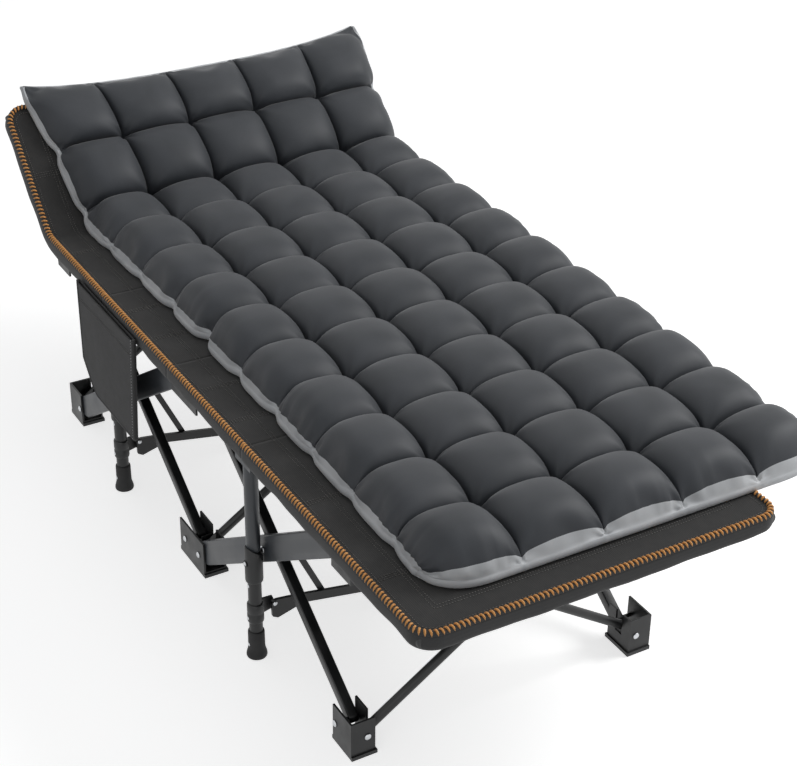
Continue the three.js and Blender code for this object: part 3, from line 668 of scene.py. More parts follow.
class COT_OT_blocks(PieceOperator, bpy.types.Operator):
    """Moulded foot blocks and top brackets, with their rivets"""

    bl_idname = "cot.blocks"
    bl_label = "Feet and brackets"

    def execute(self, context):
        s = frame_sizes()
        for side, sign in SIDES.items():
            for station, way in STATIONS.items():
                for kind in ("foot_block", "top_bracket"):
                    node = f"{kind}_{station}_{side}"
                    made = softened(node, node, "plastic", s.edge_radius)
                    self.add_rivets(node, kind, sign, way)
        return {"FINISHED"}

    def add_rivets(self, node, kind, sign, way):
        """A rivet on the outer wall over each bar pin, and one on a corner block's end wall."""
        s = frame_sizes()
        height = pivot("frame_fold")[2] if kind == "foot_block" else deck_sizes().deck_top - TOP_PIN_DROP
        cross_y = abs(pivot("cross_tube_middle_from_near_turn")[1])
        outer = sign * BLOCK_OUTER_WALL
        heads = []
        corner_x = pivot("foot_block_foot_near_level")[0]
        middle_x = pivot("frame_fold")[0]
        for x in [way * corner_x] if way else [-middle_x, middle_x]:
            heads.append(((x, outer + sign * RIVET_STAND, height), (0, sign, 0)))
        if way:
            end_x = way * (CORNER_BLOCK + CORNER_BLOCK_REACH + RIVET_STAND)
            heads.append(((end_x, sign * cross_y, height), (way, 0, 0)))
        rivets(node + "_rivets", node, heads, s.rivet_diameter)


class COT_OT_bars(PieceOperator, bpy.types.Operator):
    """Wide flat bars and square tubes that cross along each side"""

    bl_idname = "cot.bars"
    bl_label = "Side bars"

    def execute(self, context):
        s = frame_sizes()
        for side, sign in SIDES.items():
            for end in ENDS:
                place_name = f"{end}_{side}"
                hub_joint = "square_tube_foot_" if end == "foot" else "wide_bar_head_"
                hub = pivot(f"{hub_joint}{side}_turn")
                if end == "foot":
                    wide_low = pivot("frame_fold" if side == "near" else "wide_bar_foot_far_turn")
                    tube_low = pivot(f"foot_block_foot_{side}_level")
                else:
                    wide_low = pivot(f"foot_block_head_{side}_level")
                    tube_low = pivot(f"square_tube_head_{side}_turn")
                self.bar(
                    f"wide_bar_{place_name}", wide_low, hub, sign * s.bar_plane,
                    s.bar_height, s.bar_thickness, s.bar_end_radius, 3.2, "grey_paint",
                )
                self.bar(
                    f"square_tube_{place_name}", tube_low, hub, sign * s.tube_plane,
                    s.tube_size, s.tube_size, s.tube_size / 2, 2.6, "black_paint",
                )
                outer = sign * (s.bar_plane + s.bar_thickness / 2)
                inner = sign * (s.tube_plane - s.tube_size / 2 - 0.4)
                heads = [
                    ((hub[0], outer, hub[2]), (0, sign, 0)),
                    ((hub[0], inner, hub[2]), (0, -sign, 0)),
                ]
                rivets(f"hub_rivets_{place_name}", f"wide_bar_{place_name}", heads, 14.0)
        return {"FINISHED"}

    def bar(self, node, low, hub, plane, height, thickness, end_radius, edge, finish):
        """One bar in its vertical plane: the outline's first axis runs from the low pivot through the hub."""
        reach = 2 * (hub - low)
        span = math.hypot(reach[0], reach[2])
        lean = math.atan2(reach[2], reach[0])
        outline = bar_outline(span, height, end_radius)

        def to_space(p):
            x = low[0] + p[:, 0] * math.cos(lean) - p[:, 1] * math.sin(lean)
            z = low[2] + p[:, 0] * math.sin(lean) + p[:, 1] * math.cos(lean)
            return np.column_stack([x, plane + p[:, 2], z])

        made = rounded_plate(node + "_tube", outline, thickness, edge, to_space, finish)
        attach(made, node)
        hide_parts(node)


class COT_OT_cross_tubes(PieceOperator, bpy.types.Operator):
    """Round tubes that cross between opposite feet"""

    bl_idname = "cot.cross_tubes"
    bl_label = "Cross tubes"

    def execute(self, context):
        s = frame_sizes()
        radius = s.cross_diameter / 2
        for station in STATIONS:
            for side, sign in SIDES.items():
                node = f"cross_tube_{station}_from_{side}"
                low_y = sign * abs(pivot("cross_tube_middle_from_near_turn")[1])
                x = self.tube_x(station, side)
                foot, top = pivot("frame_fold")[2], deck_sizes().deck_top - TOP_PIN_DROP
                start, end = np.array([x, low_y, foot]), np.array([x, -low_y, top])
                way = unit(end - start)
                at = np.array([-6.0, -5.4, -3.5, 0.0, 0.0, 3.5, 5.4, 6.0])
                base = np.array([start] * 4 + [end] * 4)
                path = base + at[:, None] * way
                radii = radius * np.array([0.72, 0.9, 1, 1, 1, 1, 0.9, 0.72])
                made = swept_tube(node + "_tube", path, radii, "black_paint")
                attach(made, node)
                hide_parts(node)
                if side == "near":
                    self.pin(node, x, station)
        return {"FINISHED"}

    def tube_x(self, station, side):
        """A tube lies beside the plane of its cross, on the side that its own foot block opens to."""
        outward = STATIONS[station] or 1
        plane = STATIONS[station] * CROSS_PLANE
        return plane + (outward if side == "near" else -outward) * CROSS_TUBE_OFFSET

    def pin(self, node, x, station):
        """The rivet through the middle of a cross, with a head on each side."""
        other = self.tube_x(station, "far")
        way = math.copysign(1, other - x)
        height = (pivot("frame_fold")[2] + deck_sizes().deck_top - TOP_PIN_DROP) / 2
        heads = [
            ((x - way * 8.4, 0, height), (-way, 0, 0)),
            ((other + way * 9.4, 0, height), (way, 0, 0)),
        ]
        rivets(node + "_rivets", node, heads, 11.0)


class COT_OT_rails(PieceOperator, bpy.types.Operator):
    """Side rails under the deck's edges"""

    bl_idname = "cot.rails"
    bl_label = "Side rails"

    def execute(self, context):
        s = frame_sizes()
        d = deck_sizes()
        rail_y = abs(pivot("middle_rail_foot_near_turn")[1])
        depth = d.deck_top - pivot("middle_rail_foot_near_turn")[2]
        radius = s.rail_diameter / 2
        for side, sign in SIDES.items():
            for end, way in ENDS.items():
                spans = {
                    "middle_rail": (9.0, 315.0),
                    "end_rail": (335.0, self.rail_end(end)),
                }
                for kind, (start, stop) in spans.items():
                    node = f"{kind}_{end}_{side}"
                    u = way * np.concatenate(
                        [[start, start + 0.8, start + 2.5], np.linspace(start + 10, stop - 10, 60),
                         [stop - 2.5, stop - 0.8, stop]]
                    )
                    path = over_bed(u, sign * rail_y, -depth, d.bend_radius)
                    radii = np.full(len(u), radius)
                    radii[[0, -1]] = radius - 2.2
                    radii[[1, -2]] = radius - 0.8
                    made = swept_tube(node + "_tube", path, radii, "black_paint")
                    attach(made, node)
                    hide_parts(node)
        return {"FINISHED"}

    def rail_end(self, end):
        d = deck_sizes()
        inset = 14.0
        if end == "foot":
            return d.deck_length / 2 - inset
        return head_reach(d.deck_length / 2 - d.head_bend - inset, d.bend_radius)


class COT_OT_legs(PieceOperator, bpy.types.Operator):
    """Round legs with button collar, sleeve, hinge bracket and rubber tip"""

    bl_idname = "cot.legs"
    bl_label = "Legs"

    def execute(self, context):
        for side, sign in SIDES.items():
            for end, way in ENDS.items():
                self.leg(end, side, sign, way)
        return {"FINISHED"}

    def leg(self, end, side, sign, way):
        s = frame_sizes()
        place_name = f"{end}_{side}"
        body = f"leg_{place_name}"
        rail = pivot(f"middle_rail_{end}_{side}_turn")
        x, y = way * deck_sizes().hinge_line, rail[1]
        top = rail[2] - s.rail_diameter / 2 - 8.4
        upper, lower = s.leg_diameter / 2, s.leg_lower_diameter / 2
        axis = (0, 0, 1)
        # The upper tube, painted grey, with a rolled lower end.
        tube = [(0, 243), (upper - 1, 243), (upper, 244.5), (upper, top - 1), (upper - 1, top), (0, top)]
        made = crisp(turned(f"{body}_tube", tube, (x, y, 0), axis, "grey_paint"), 40)
        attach(made, body)
        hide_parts(body)
        # The narrower tube below it.
        shaft = [(0, 3.4), (lower, 3.4), (lower, 215), (0, 215)]
        made = crisp(turned(f"{body}_shaft", shaft, (x, y, 0), axis, "black_paint"), 40)
        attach(made, body)
        self.collar(body, x, y, sign)
        # The sleeve that the spreader is held by.
        sleeve = [
            (0, 82), (14, 82), (15.4, 83), (16, 85.5), (16, 99), (15.4, 100), (15.4, 104), (16, 105),
            (16, 120.5), (15.4, 123), (14, 124), (0, 124),
        ]
        made = crisp(turned(f"{body}_sleeve", sleeve, (x, y, 0), axis, "plastic"), 45)
        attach(made, body)
        self.ear(body, end, x, y, sign)
        # The rubber tip, wider at the floor.
        tip = [
            (0, 0), (17.5, 0), (19.3, 0.8), (20, 3), (19.6, 8), (18.2, 13), (16.7, 18.5), (16.2, 24),
            (16, 56.5), (15.4, 59), (14.2, 60), (0, 60),
        ]
        node = f"leg_tip_{place_name}"
        made = crisp(turned(f"{node}_cup", tip, (x, y, 0), axis, "rubber"), 50)
        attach(made, body)
        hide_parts(node)
        self.leg_rivets(body, x, y, sign)
        bracket = softened(f"leg_bracket_{place_name}", body, "grey_paint", 0.5)

    def collar(self, body, x, y, sign):
        """The button collar: a cup whose rim stands higher on the outer side, 245 + 9 * cos(angle)."""
        sides = 40
        radius, inner = 17.0, 13.9
        angle = np.linspace(0, 2 * math.pi, sides, endpoint=False)
        outward = np.cos(angle)
        rim = 245 + 9 * outward
        rows = []
        for r, z in (
            (0.0, np.full(sides, 175.0)),
            (15.0, np.full(sides, 175.0)),
            (16.5, np.full(sides, 176.0)),
            (radius, np.full(sides, 179.0)),
            (radius, np.full(sides, 205.0)),
            (radius, rim - 3.0),
            (radius - 0.8, rim - 0.8),
            (radius - 2.0, rim),
            (inner, rim - 0.6),
            (inner, np.full(sides, 231.0)),
            (0.0, np.full(sides, 231.0)),
        ):
            rows.append(np.column_stack([x + r * np.sin(angle), y + sign * r * outward, z]))
        faces = grid_faces(len(rows), sides, wrap_columns=True)
        made = new_piece(f"{body}_collar", place(np.concatenate(rows)), faces, "plastic")
        crisp(outward_fixed(made), 50)
        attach(made, body)
        # The spring button in its hole, on the outer side.
        button = [(0, -2), (4.2, -2), (4.2, 1.0), (3.4, 2.4), (0, 2.9)]
        made = turned(f"{body}_button", button, (x, y + sign * radius, 218), (0, sign, 0), "steel", 20)
        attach(made, body)
        ring = [(4.4, -1), (7.2, -1), (7.2, 0.9), (6.4, 1.6), (5.0, 1.6), (4.4, 0.9), (4.4, -1)]
        made = turned(f"{body}_button_ring", ring, (x, y + sign * radius, 218), (0, sign, 0), "plastic", 24)
        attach(made, body)

    def ear(self, body, end, x, y, sign):
        """The cheek on the sleeve that carries the spreader's pin, and the pin's two heads."""
        shift = 4.0 if end == "head" else 0.0
        low_y, high_y = y - sign * 12.0, y - sign * 42.0
        outline = np.array([(0.0, 84.0), (24.0, 90.0), (30.0, 112.0), (27.0, 119.0), (0.0, 120.0)])
        centre_x = x + shift - 10.25

        def to_space(p):
            return np.column_stack([centre_x + p[:, 2], low_y - sign * p[:, 0], p[:, 1]])

        made = rounded_plate(f"{body}_ear", outline, 4.5, 1.0, to_space, "plastic")
        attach(made, body)
        pin_y = high_y + sign * 5.0
        heads = [
            ((centre_x - 2.25, pin_y, 112.0), (-1, 0, 0)),
            ((x + shift + 9.0, pin_y, 112.0), (1, 0, 0)),
        ]
        rivets(f"{body}_spreader_rivets", body, heads, 9.0)

    def leg_rivets(self, body, x, y, sign):
        heads = [
            ((x, y + sign * 13.0, 165.0), (0, sign, 0)),
            ((x, y + sign * 16.0, 92.0), (0, sign, 0)),
            ((x, y + sign * 16.1, 30.0), (0, sign, 0)),
        ]
        rivets(f"{body}_rivets", body, heads, 7.0)


class COT_OT_spreaders(PieceOperator, bpy.types.Operator):
    """Spreader arms between opposite legs, and their stays"""

    bl_idname = "cot.spreaders"
    bl_label = "Spreaders and stays"

    def execute(self, context):
        for side in SIDES:
            for end in ENDS:
                for kind in ("spreader_arm", "stay"):
                    node = f"{kind}_{end}_{side}"
                    made = softened(node, node, "black_paint", 0.9)
        return {"FINISHED"}


class COT_OT_deck(PieceOperator, bpy.types.Operator):
    """Deck cloth in four panels, with its welt, whip stitch and topstitching"""

    bl_idname = "cot.deck"
    bl_label = "Deck"

    def execute(self, context):
        d = deck_sizes()
        for end, way in ENDS.items():
            outer = d.deck_length / 2
            if end == "head":
                outer = head_reach(d.deck_length / 2 - d.head_bend, d.bend_radius)
            body = f"middle_rail_{end}_near"
            self.panel(f"deck_middle_{end}", body, way, 0.3, d.hinge_line - 0.3, False)
            self.panel(f"deck_end_{end}", f"end_rail_{end}_near", way, d.hinge_line + 0.3, outer, True)
        return {"FINISHED"}

    def half_width(self, left, inset=0.0):
        """Half the deck's width where left is the cloth length left to its end: full, then a round corner."""
        d = deck_sizes()
        radius = max(d.corner_radius - inset, 4.0)
        short = np.clip(radius - np.maximum(left - inset, 0), 0, radius)
        return d.deck_width / 2 - inset - radius + np.sqrt(np.maximum(radius**2 - short**2, 0))

    def outline(self, way, start, stop, rounded, inset, spacing):
        """Lines (u, y) that follow the panel's outer edge at an inset, evenly spaced."""
        d = deck_sizes()
        half = d.deck_width / 2 - inset
        if not rounded:
            count = max(int((stop - start) / spacing), 2)
            u = way * np.linspace(start, stop, count)
            return [np.column_stack([u, np.full(count, sign * half)]) for sign in (-1, 1)]
        radius = max(d.corner_radius - inset, 4.0)
        turn = np.linspace(0, math.pi / 2, 24)
        last = stop - inset
        corner_u = last - radius + radius * np.sin(turn)
        corner_y = half - radius + radius * np.cos(turn)
        near = np.column_stack([np.r_[start, corner_u], -np.r_[half, corner_y]])
        whole = np.concatenate([near, near[::-1] * [1, -1]])
        steps = np.r_[0, np.cumsum(np.linalg.norm(np.diff(whole, axis=0), axis=1))]
        even = np.linspace(0, steps[-1], max(int(steps[-1] / spacing), 8))
        line = np.column_stack([np.interp(even, steps, whole[:, k]) for k in (0, 1)])
        return [line * [way, 1]]

    def frame_of(self, line, way):
        """For a line (u, y) on the bed: its points, the surface normal and the outward direction."""
        d = deck_sizes()
        points = over_bed(line[:, 0], line[:, 1], 0.0, d.bend_radius)
        _, _, nx, nz = bed_line(line[:, 0], d.bend_radius)
        normal = np.column_stack([nx, np.zeros(len(nx)), nz])
        tangent = along_path(points)
        outward = unit(np.cross(tangent, normal))
        middle = np.array([points[:, 0].mean() if len(points) < 3 else way * 300.0, 0.0, 0.0])
        turned_in = ((points[len(points) // 2] - middle) * outward[len(points) // 2]).sum() < 0
        return points, normal, -outward if turned_in else outward

    def panel(self, node, body, way, start, stop, rounded):
        d = deck_sizes()
        fillet = 5.0
        # Rows along the panel, close together round the corner and the head bend.
        if rounded:
            corner = stop - fillet - d.corner_radius * (1 - np.sin(np.linspace(0, math.pi / 2, 12)))
            rows = np.r_[np.linspace(start, corner[0] - 6, 90), corner]
        else:
            rows = np.linspace(start, stop, 50)
        left = stop - rows if rounded else np.full(len(rows), 1e6)
        half = self.half_width(left, fillet)
        across = np.sin(np.linspace(-1, 1, 61) * math.pi / 2)
        y = half[:, None] * across[None, :]
        u = np.broadcast_to(way * rows[:, None], y.shape)
        flat = 1 - (y / (d.deck_width / 2)) ** 2
        ripple = 0.5 * np.sin(u / 23.0 + 2.0 * np.sin(y / 60.0)) * np.abs(across) ** 6
        sag = -d.sag * flat + ripple
        top = over_bed(u, y, sag, d.bend_radius)
        uv = np.stack([u, y], -1) * MM
        faces = grid_faces(*y.shape, flip=way < 0)
        # The side band: a quarter round from the top's edge, then down, with a slight tuck at its hem.
        index = np.arange(y.size).reshape(y.shape)
        loops = [index[:, 0], index[:, -1]]
        if rounded:
            loops = [np.r_[index[:, 0], index[-1, 1:-1], index[::-1, -1]]]
        points, uvs, all_faces = [top.reshape(-1, 3)], [uv.reshape(-1, 2)], [faces]
        first = y.size
        for loop in loops:
            line = np.column_stack([u.ravel()[loop], y.ravel()[loop]])
            edge, normal, outward = self.frame_of(line, way)
            edge = top.reshape(-1, 3)[loop]
            turn = np.linspace(0, math.pi / 2, 5)[1:]
            out = np.r_[fillet * np.sin(turn), fillet + 0.4, fillet + 0.6, fillet + 0.2, fillet - 1.2]
            down = np.r_[fillet * (1 - np.cos(turn)), 11, 18, d.band_drop - 4, d.band_drop]
            along = np.r_[0, np.cumsum(np.linalg.norm(np.diff(edge, axis=0), axis=1))]
            wave = 0.9 * np.sin(along / 31.0) + 0.5 * np.sin(along / 13.0 + 1.0)
            band = [edge]
            for o, w in zip(out, down):
                hem = (w / d.band_drop) ** 2
                band.append(edge + outward * (o + hem * wave)[:, None] - normal * w)
            band = np.array(band)
            path = np.r_[0, np.cumsum(np.hypot(np.diff(np.r_[0, out]), np.diff(np.r_[0, down])))]
            band_uv = line[None] * MM + np.zeros((len(band), 1, 1))
            shift = (path * MM)[:, None]
            if rounded:
                band_uv = np.stack([band_uv[..., 0] + shift * 0.3, band_uv[..., 1] + shift], -1)
            else:
                band_uv = np.stack([band_uv[..., 0], band_uv[..., 1] + shift], -1)
            new_faces = grid_faces(len(band), len(loop))
            all_faces.append(new_faces + first)
            points.append(band.reshape(-1, 3))
            uvs.append(band_uv.reshape(-1, 2))
            first += band.shape[0] * band.shape[1]
        # The top shows the deck's cloth and the side bands show the binding.
        finish = np.repeat([0, 1], [len(faces), sum(len(f) for f in all_faces[1:])])
        points, all_faces, uvs = (np.concatenate(k) for k in (points, all_faces, uvs))
        made = new_piece(
            node + "_cloth", place(points), all_faces, ["deck", "binding"], uvs, face_finish=finish
        )
        outward_fixed(made)
        if self.faces_down(made):
            made.data.flip_normals()
        wall = made.modifiers.new("two layers", "SOLIDIFY")
        wall.thickness = d.cloth * MM
        wall.offset = -1
        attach(made, body)
        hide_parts(node)
        pieces = [
            self.welt(node, body, way, start, stop, rounded),
            self.whip_stitch(node, body, way, start, stop, rounded),
            self.topstitch(node, body, way, start, stop, rounded),
        ]
        for piece in [made, *pieces]:
            self.anchor()
            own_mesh(piece)

    def anchor(self):
        """A point on the near rail's line at the deck's top, in the row frame."""
        y = pivot("middle_rail_foot_near_turn")[1]
        return tuple(place((0.0, y, deck_sizes().deck_top)))

    def faces_down(self, piece):
        """True if most of the mesh's area faces the floor."""
        mesh = piece.data
        normals = np.empty(len(mesh.polygons) * 3)
        areas = np.empty(len(mesh.polygons))
        mesh.polygons.foreach_get("normal", normals)
        mesh.polygons.foreach_get("area", areas)
        return float((normals.reshape(-1, 3)[:, 2] * areas).sum()) < 0

    def welt(self, node, body, way, start, stop, rounded):
        """The cord that the edge is sewn over: a tube along the outline at the deck's upper corner."""
        d = deck_sizes()
        made = []
        for k, line in enumerate(self.outline(way, start, stop, rounded, 6.0, 7.0)):
            points, normal, _ = self.frame_of(line, way)
            path = points - normal * 1.2
            made.append(swept_tube(f"{node}_welt_{k}", path, d.welt_radius, "binding", 14))
        return self.joined(made, f"{node}_welt", body)

    def joined(self, pieces, name, body):
        """Several meshes as one piece, which rides on body."""
        keep = pieces[0]
        if len(pieces) > 1:
            work = bmesh.new()
            for p in pieces:
                work.from_mesh(p.data)
            work.to_mesh(keep.data)
            work.free()
            for p in pieces[1:]:
                bpy.data.objects.remove(p)
        keep.name = name
        layer = keep.data.uv_layers.new(name="cloth")
        corner = np.empty(len(keep.data.loops), np.int32)
        keep.data.loops.foreach_get("vertex_index", corner)
        co = np.empty(len(keep.data.vertices) * 3)
        keep.data.vertices.foreach_get("co", co)
        layer.data.foreach_set("uv", co.reshape(-1, 3)[corner][:, :2].ravel())
        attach(keep, body)
        return keep

    def whip_stitch(self, node, body, way, start, stop, rounded):
        """Slanted wraps of yarn over the welt, one each pitch, from its inner side round to its outer one."""
        d = deck_sizes()
        starts, middles, ends = [], [], []
        wrap = d.welt_radius + d.stitch_radius * 0.45
        for line in self.outline(way, start + 3, stop - (0 if rounded else 3), rounded, 6.0, d.stitch_pitch):
            points, normal, outward = self.frame_of(line, way)
            centre = points - normal * 1.2
            tangent = along_path(centre)
            slant = tangent * 2.4
            starts.append(centre - outward * (wrap + 0.6) + normal * 1.6 - slant)
            middles.append(centre + normal * (wrap + 0.7) - outward * 0.3)
            ends.append(centre + outward * wrap * 0.97 - normal * 0.6 + slant)
        return capsules(
            f"{node}_whip_stitch", *(np.concatenate(p) for p in (starts, middles, ends)),
            d.stitch_radius, body, "edge_yarn", "deck_fabric", sides=6, steps=7,
        )

    def topstitch(self, node, body, way, start, stop, rounded):
        """Two lines of stitches inside the edge, and double seams across the cloth."""
        d = deck_sizes()
        pitch, dash, radius = 5.4, 3.6, 0.85
        starts, ends, ups = [], [], []
        for inset in (20.0, d.topstitch_inset, d.topstitch_inset + 7):
            for line in self.outline(way, start + 2, stop - (0 if rounded else 2), rounded, inset, pitch):
                self.add_dashes(line, dash, starts, ends, ups)
        for at in (0.33, 0.72):
            for apart in (0.0, 5.0, 10.0):
                where = start + at * (stop - start) + apart
                half = d.deck_width / 2 - 14
                y = np.arange(-half, half, pitch)
                line = np.column_stack([np.full(len(y), way * where), y])
                self.add_dashes(line, dash, starts, ends, ups)
        a, b, up = (np.concatenate(p) for p in (starts, ends, ups))
        return capsules(
            f"{node}_topstitch", a, (a + b) / 2 + up * 0.35, b, radius, body, "dark_yarn", "deck_fabric",
            sides=4, steps=4,
        )

    def add_dashes(self, line, dash, starts, ends, ups):
        d = deck_sizes()
        flat = 1 - (line[:, 1] / (d.deck_width / 2)) ** 2
        points = over_bed(line[:, 0], line[:, 1], -d.sag * flat + 0.25, d.bend_radius)
        _, _, nx, nz = bed_line(line[:, 0], d.bend_radius)
        tangent = along_path(points)
        starts.append(points - tangent * dash / 2)
        ends.append(points + tangent * dash / 2)
        ups.append(np.column_stack([nx, np.zeros(len(nx)), nz]))


class COT_OT_mattress(PieceOperator, bpy.types.Operator):
    """Tufted mattress with its pale underside"""

    bl_idname = "cot.mattress"
    bl_label = "Mattress"

    per_puff = 14
    lap = 1

    def execute(self, context):
        made = self.shape()
        self.inflate(made)
        self.smooth(made)
        self.folds(made)
        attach(made, "mattress")
        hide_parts("mattress")
        return {"FINISHED"}

    def steps(self, puffs):
        """Grid lines in puffs, closer together at the creases: i + f - 0.1 sin(2 pi f)."""
        t = np.linspace(0, puffs, puffs * self.per_puff + 1)
        return t - 0.1 * np.sin(2 * math.pi * t)

    def shape(self):
        """Height over the underside, from the row and column coordinates a and b:
        tuft + (puff - tuft) * (0.64 c(a) c(b) + 0.18 c(a) + 0.18 c(b)),
        c(x) = (1 - |2 frac(x) - 1| ** 2.8) ** 0.5, and towards each edge it falls in a quarter ellipse to the
        top of the pale band."""
        m = mattress_sizes()
        a = self.steps(m.rows)[:, None]
        b = self.steps(m.columns)[None, :]
        head = -head_reach(m.head_rise, m.bend_radius)
        u = head + (m.foot_edge - head) * a / m.rows
        # The sides bow: near(a) = near - waist sin(pi a / rows) + point clip(1 - a / 2) ** 2; the far less.
        bow = np.sin(math.pi * a / m.rows)
        point = m.head_point * np.clip(1 - a / 2, 0, 1) ** 2
        near = m.near_edge - m.waist * bow + point
        far = m.far_edge + 0.6 * m.waist * bow + 0.6 * point
        width = near + far
        y = -near + width * b / m.columns
        full_grid = np.broadcast_arrays(u, y, a, b, near, far, width)
        u, y, a, b, near, far, width = (np.array(k) for k in full_grid)
        from_side = np.minimum(y + near, far - y)
        # The foot corners are round, and the last row of puffs is drawn in to them.
        short = np.clip(m.corner_radius - from_side, 0, m.corner_radius)
        pulled = m.corner_radius - np.sqrt(m.corner_radius**2 - short**2)
        last = np.clip((a - (m.rows - 1)), 0, 1) ** 2
        u = u - last * pulled * 0.75
        # The head edge is hollow between its two pointed corners.
        middle = 1 - np.abs(2 * (y + near) / width - 1) ** 3
        u = u + np.clip(1 - a, 0, 1) ** 2 * (30 * middle - 14)
        # The side seams draw in at each row's tufts, unevenly, and most at mid-length.
        rng = np.random.default_rng(7)
        pull = rng.uniform(4, 12, m.rows + 1)
        pull[m.rows // 2] = 21.0
        tuck = pull[np.rint(a).astype(int)] * np.abs(np.cos(math.pi * a)) ** 10
        tuck = tuck * np.clip(1 - from_side / 75, 0, 1)
        y = y + np.sign(width / 2 - (y + near)) * tuck

        def crown(x):
            return (1 - np.abs(2 * (x % 1.0) - 1) ** 2.8).clip(0) ** 0.5

        ca, cb = crown(a), crown(b)
        full = 1 + 0.07 * (rng.random((m.rows, m.columns)) - 0.6)
        row = np.minimum(a.astype(int), m.rows - 1)
        column = np.minimum(b.astype(int), m.columns - 1)
        puff = (m.puff_height - m.tuft_height) * full[row, column]
        height = m.tuft_height + puff * (0.64 * ca * cb + 0.18 * ca + 0.18 * cb)
        lying = 1 - 0.35 * np.clip(1 - a / 1.6, 0, 1)

        def fall(distance, reach):
            return np.sqrt(1 - (1 - np.clip(distance / reach, 0, 1)) ** 2)

        from_head = (u - head).clip(0)
        edge = fall(from_side, 58) * fall(from_head, 130) * fall(m.rows - a, 0.42)
        height = m.band_height + (height * lying - m.band_height) * edge
        height = np.where(a < 1e-6, 6.0, height)
        base = np.minimum(0.4 + 0 * height, height - 1)
        top = over_bed(u, y, height, m.bend_radius)
        low = over_bed(u, y, base + 0.6, m.bend_radius)
        rows, columns = u.shape
        count = u.size
        index = np.arange(count).reshape(rows, columns)
        loop = np.r_[index[:, 0], index[-1, 1:], index[-2::-1, -1], index[0, -2:0:-1]]
        # The pale shell: it stands out a little between its upper and lower seam.
        rim_top, rim_low = top.reshape(-1, 3)[loop], low.reshape(-1, 3)[loop]
        around = np.roll(rim_low, -1, 0) - np.roll(rim_low, 1, 0)
        up = unit(rim_top - rim_low)
        out = unit(np.cross(around, up))
        centre = rim_low.mean(0)
        if ((rim_low - centre) * out).sum() < 0:
            out = -out
        rim_uv = np.stack([u, y], -1).reshape(-1, 2)[loop]
        gather = 0.7 * np.sin(np.arange(len(loop)) * 1.9)
        bands = []
        for share, proud in ((0.97, 1.2), (0.7, 3.6), (0.35, 3.8), (0.08, 2.0)):
            bands.append(rim_low + (rim_top - rim_low) * share + out * (proud + gather * 0.6)[:, None])
        ring = len(loop)
        chain = [loop] + [2 * count + k * ring + np.arange(ring) for k in range(4)] + [loop + count]
        band_faces = []
        for one, two in zip(chain[:-1], chain[1:]):
            band_faces.append(np.stack([one, np.roll(one, -1), np.roll(two, -1), two], -1))
        band_faces = np.concatenate(band_faces)
        under_faces = grid_faces(rows, columns, count, flip=True)
        faces = np.concatenate([grid_faces(rows, columns), under_faces, band_faces])
        # The shell also laps a little way over the cover's edge, except at the head.
        lapped = np.zeros((rows - 1, columns - 1), int)
        lapped[:, : self.lap] = lapped[:, -self.lap :] = lapped[-2 * self.lap :] = 1
        finish = np.r_[lapped.ravel(), np.ones(lapped.size + len(band_faces), int)]
        points = np.concatenate([top.reshape(-1, 3), low.reshape(-1, 3), *bands])
        flat_uv = np.stack([u, y], -1).reshape(-1, 2) * MM
        uv = np.concatenate([flat_uv, flat_uv] + [rim_uv * MM + 0.01 * (k + 1) for k in range(4)])
        made = new_piece("mattress_pad", place(points), faces, ["cover", "shell"], uv, face_finish=finish)
        total = len(points)
        lattice = np.full((total, 3), -1.0)
        lattice[:count, 0] = a.ravel()
        lattice[:count, 1] = b.ravel()
        lattice[:count, 2] = 1.0
        for k, name in enumerate(("row", "column", "upper")):
            made.data.attributes.new(name, "FLOAT", "POINT").data.foreach_set("value", lattice[:, k].copy())
        self.recalculate(made)
        return made

    def recalculate(self, piece):
        work = bmesh.new()
        work.from_mesh(piece.data)
        bmesh.ops.recalc_face_normals(work, faces=work.faces)
        work.to_mesh(piece.data)
        work.free()

    def read(self, mesh, name):
        values = np.empty(len(mesh.vertices), np.float32)
        mesh.attributes[name].data.foreach_get("value", values)
        return values

    def places(self, mesh):
        co = np.empty(len(mesh.vertices) * 3)
        mesh.vertices.foreach_get("co", co)
        return co.reshape(-1, 3)

    def inflate(self, piece):
        """Cloth with inner pressure: tufts, seams and the underside are held, and the puffs fill out."""
        m = mattress_sizes()
        mesh = piece.data
        before = self.places(mesh)
        row, column, upper = (self.read(mesh, n) for n in ("row", "column", "upper"))
        off_row, off_column = np.abs(row - np.round(row)), np.abs(column - np.round(column))
        tuft = (off_row < 0.04) & (off_column < 0.04)
        edge = (row < 1e-3) | (row > m.rows - 1e-3) | (column < 1e-3) | (column > m.columns - 1e-3)
        held = (upper < 0.5) | tuft | edge
        group = piece.vertex_groups.new(name="held")
        group.add(np.flatnonzero(held).tolist(), 1.0, "REPLACE")
        crease = (off_row < 0.01) | (off_column < 0.01)
        group.add(np.flatnonzero(crease & ~held).tolist(), 0.35, "REPLACE")
        cloth = piece.modifiers.new("pressure", "CLOTH")
        settings = cloth.settings
        settings.quality = 6
        settings.mass = 0.25
        settings.tension_stiffness = 18
        settings.compression_stiffness = 14
        settings.shear_stiffness = 6
        settings.bending_stiffness = 0.4
        settings.use_pressure = True
        settings.uniform_pressure_force = 3.5
        settings.shrink_min = -0.045
        settings.vertex_group_mass = "held"
        settings.pin_stiffness = 1.0
        settings.effector_weights.gravity = 0
        cloth.collision_settings.use_collision = False
        cloth.collision_settings.use_self_collision = False
        scene = bpy.context.scene
        for number in range(1, 17):
            scene.frame_set(number)
        evaluated = piece.evaluated_get(bpy.context.evaluated_depsgraph_get())
        after = self.places(evaluated.to_mesh())
        evaluated.to_mesh_clear()
        piece.modifiers.remove(cloth)
        piece.vertex_groups.clear()
        scene.frame_set(1)
        cap = 10 * MM
        move = after - before
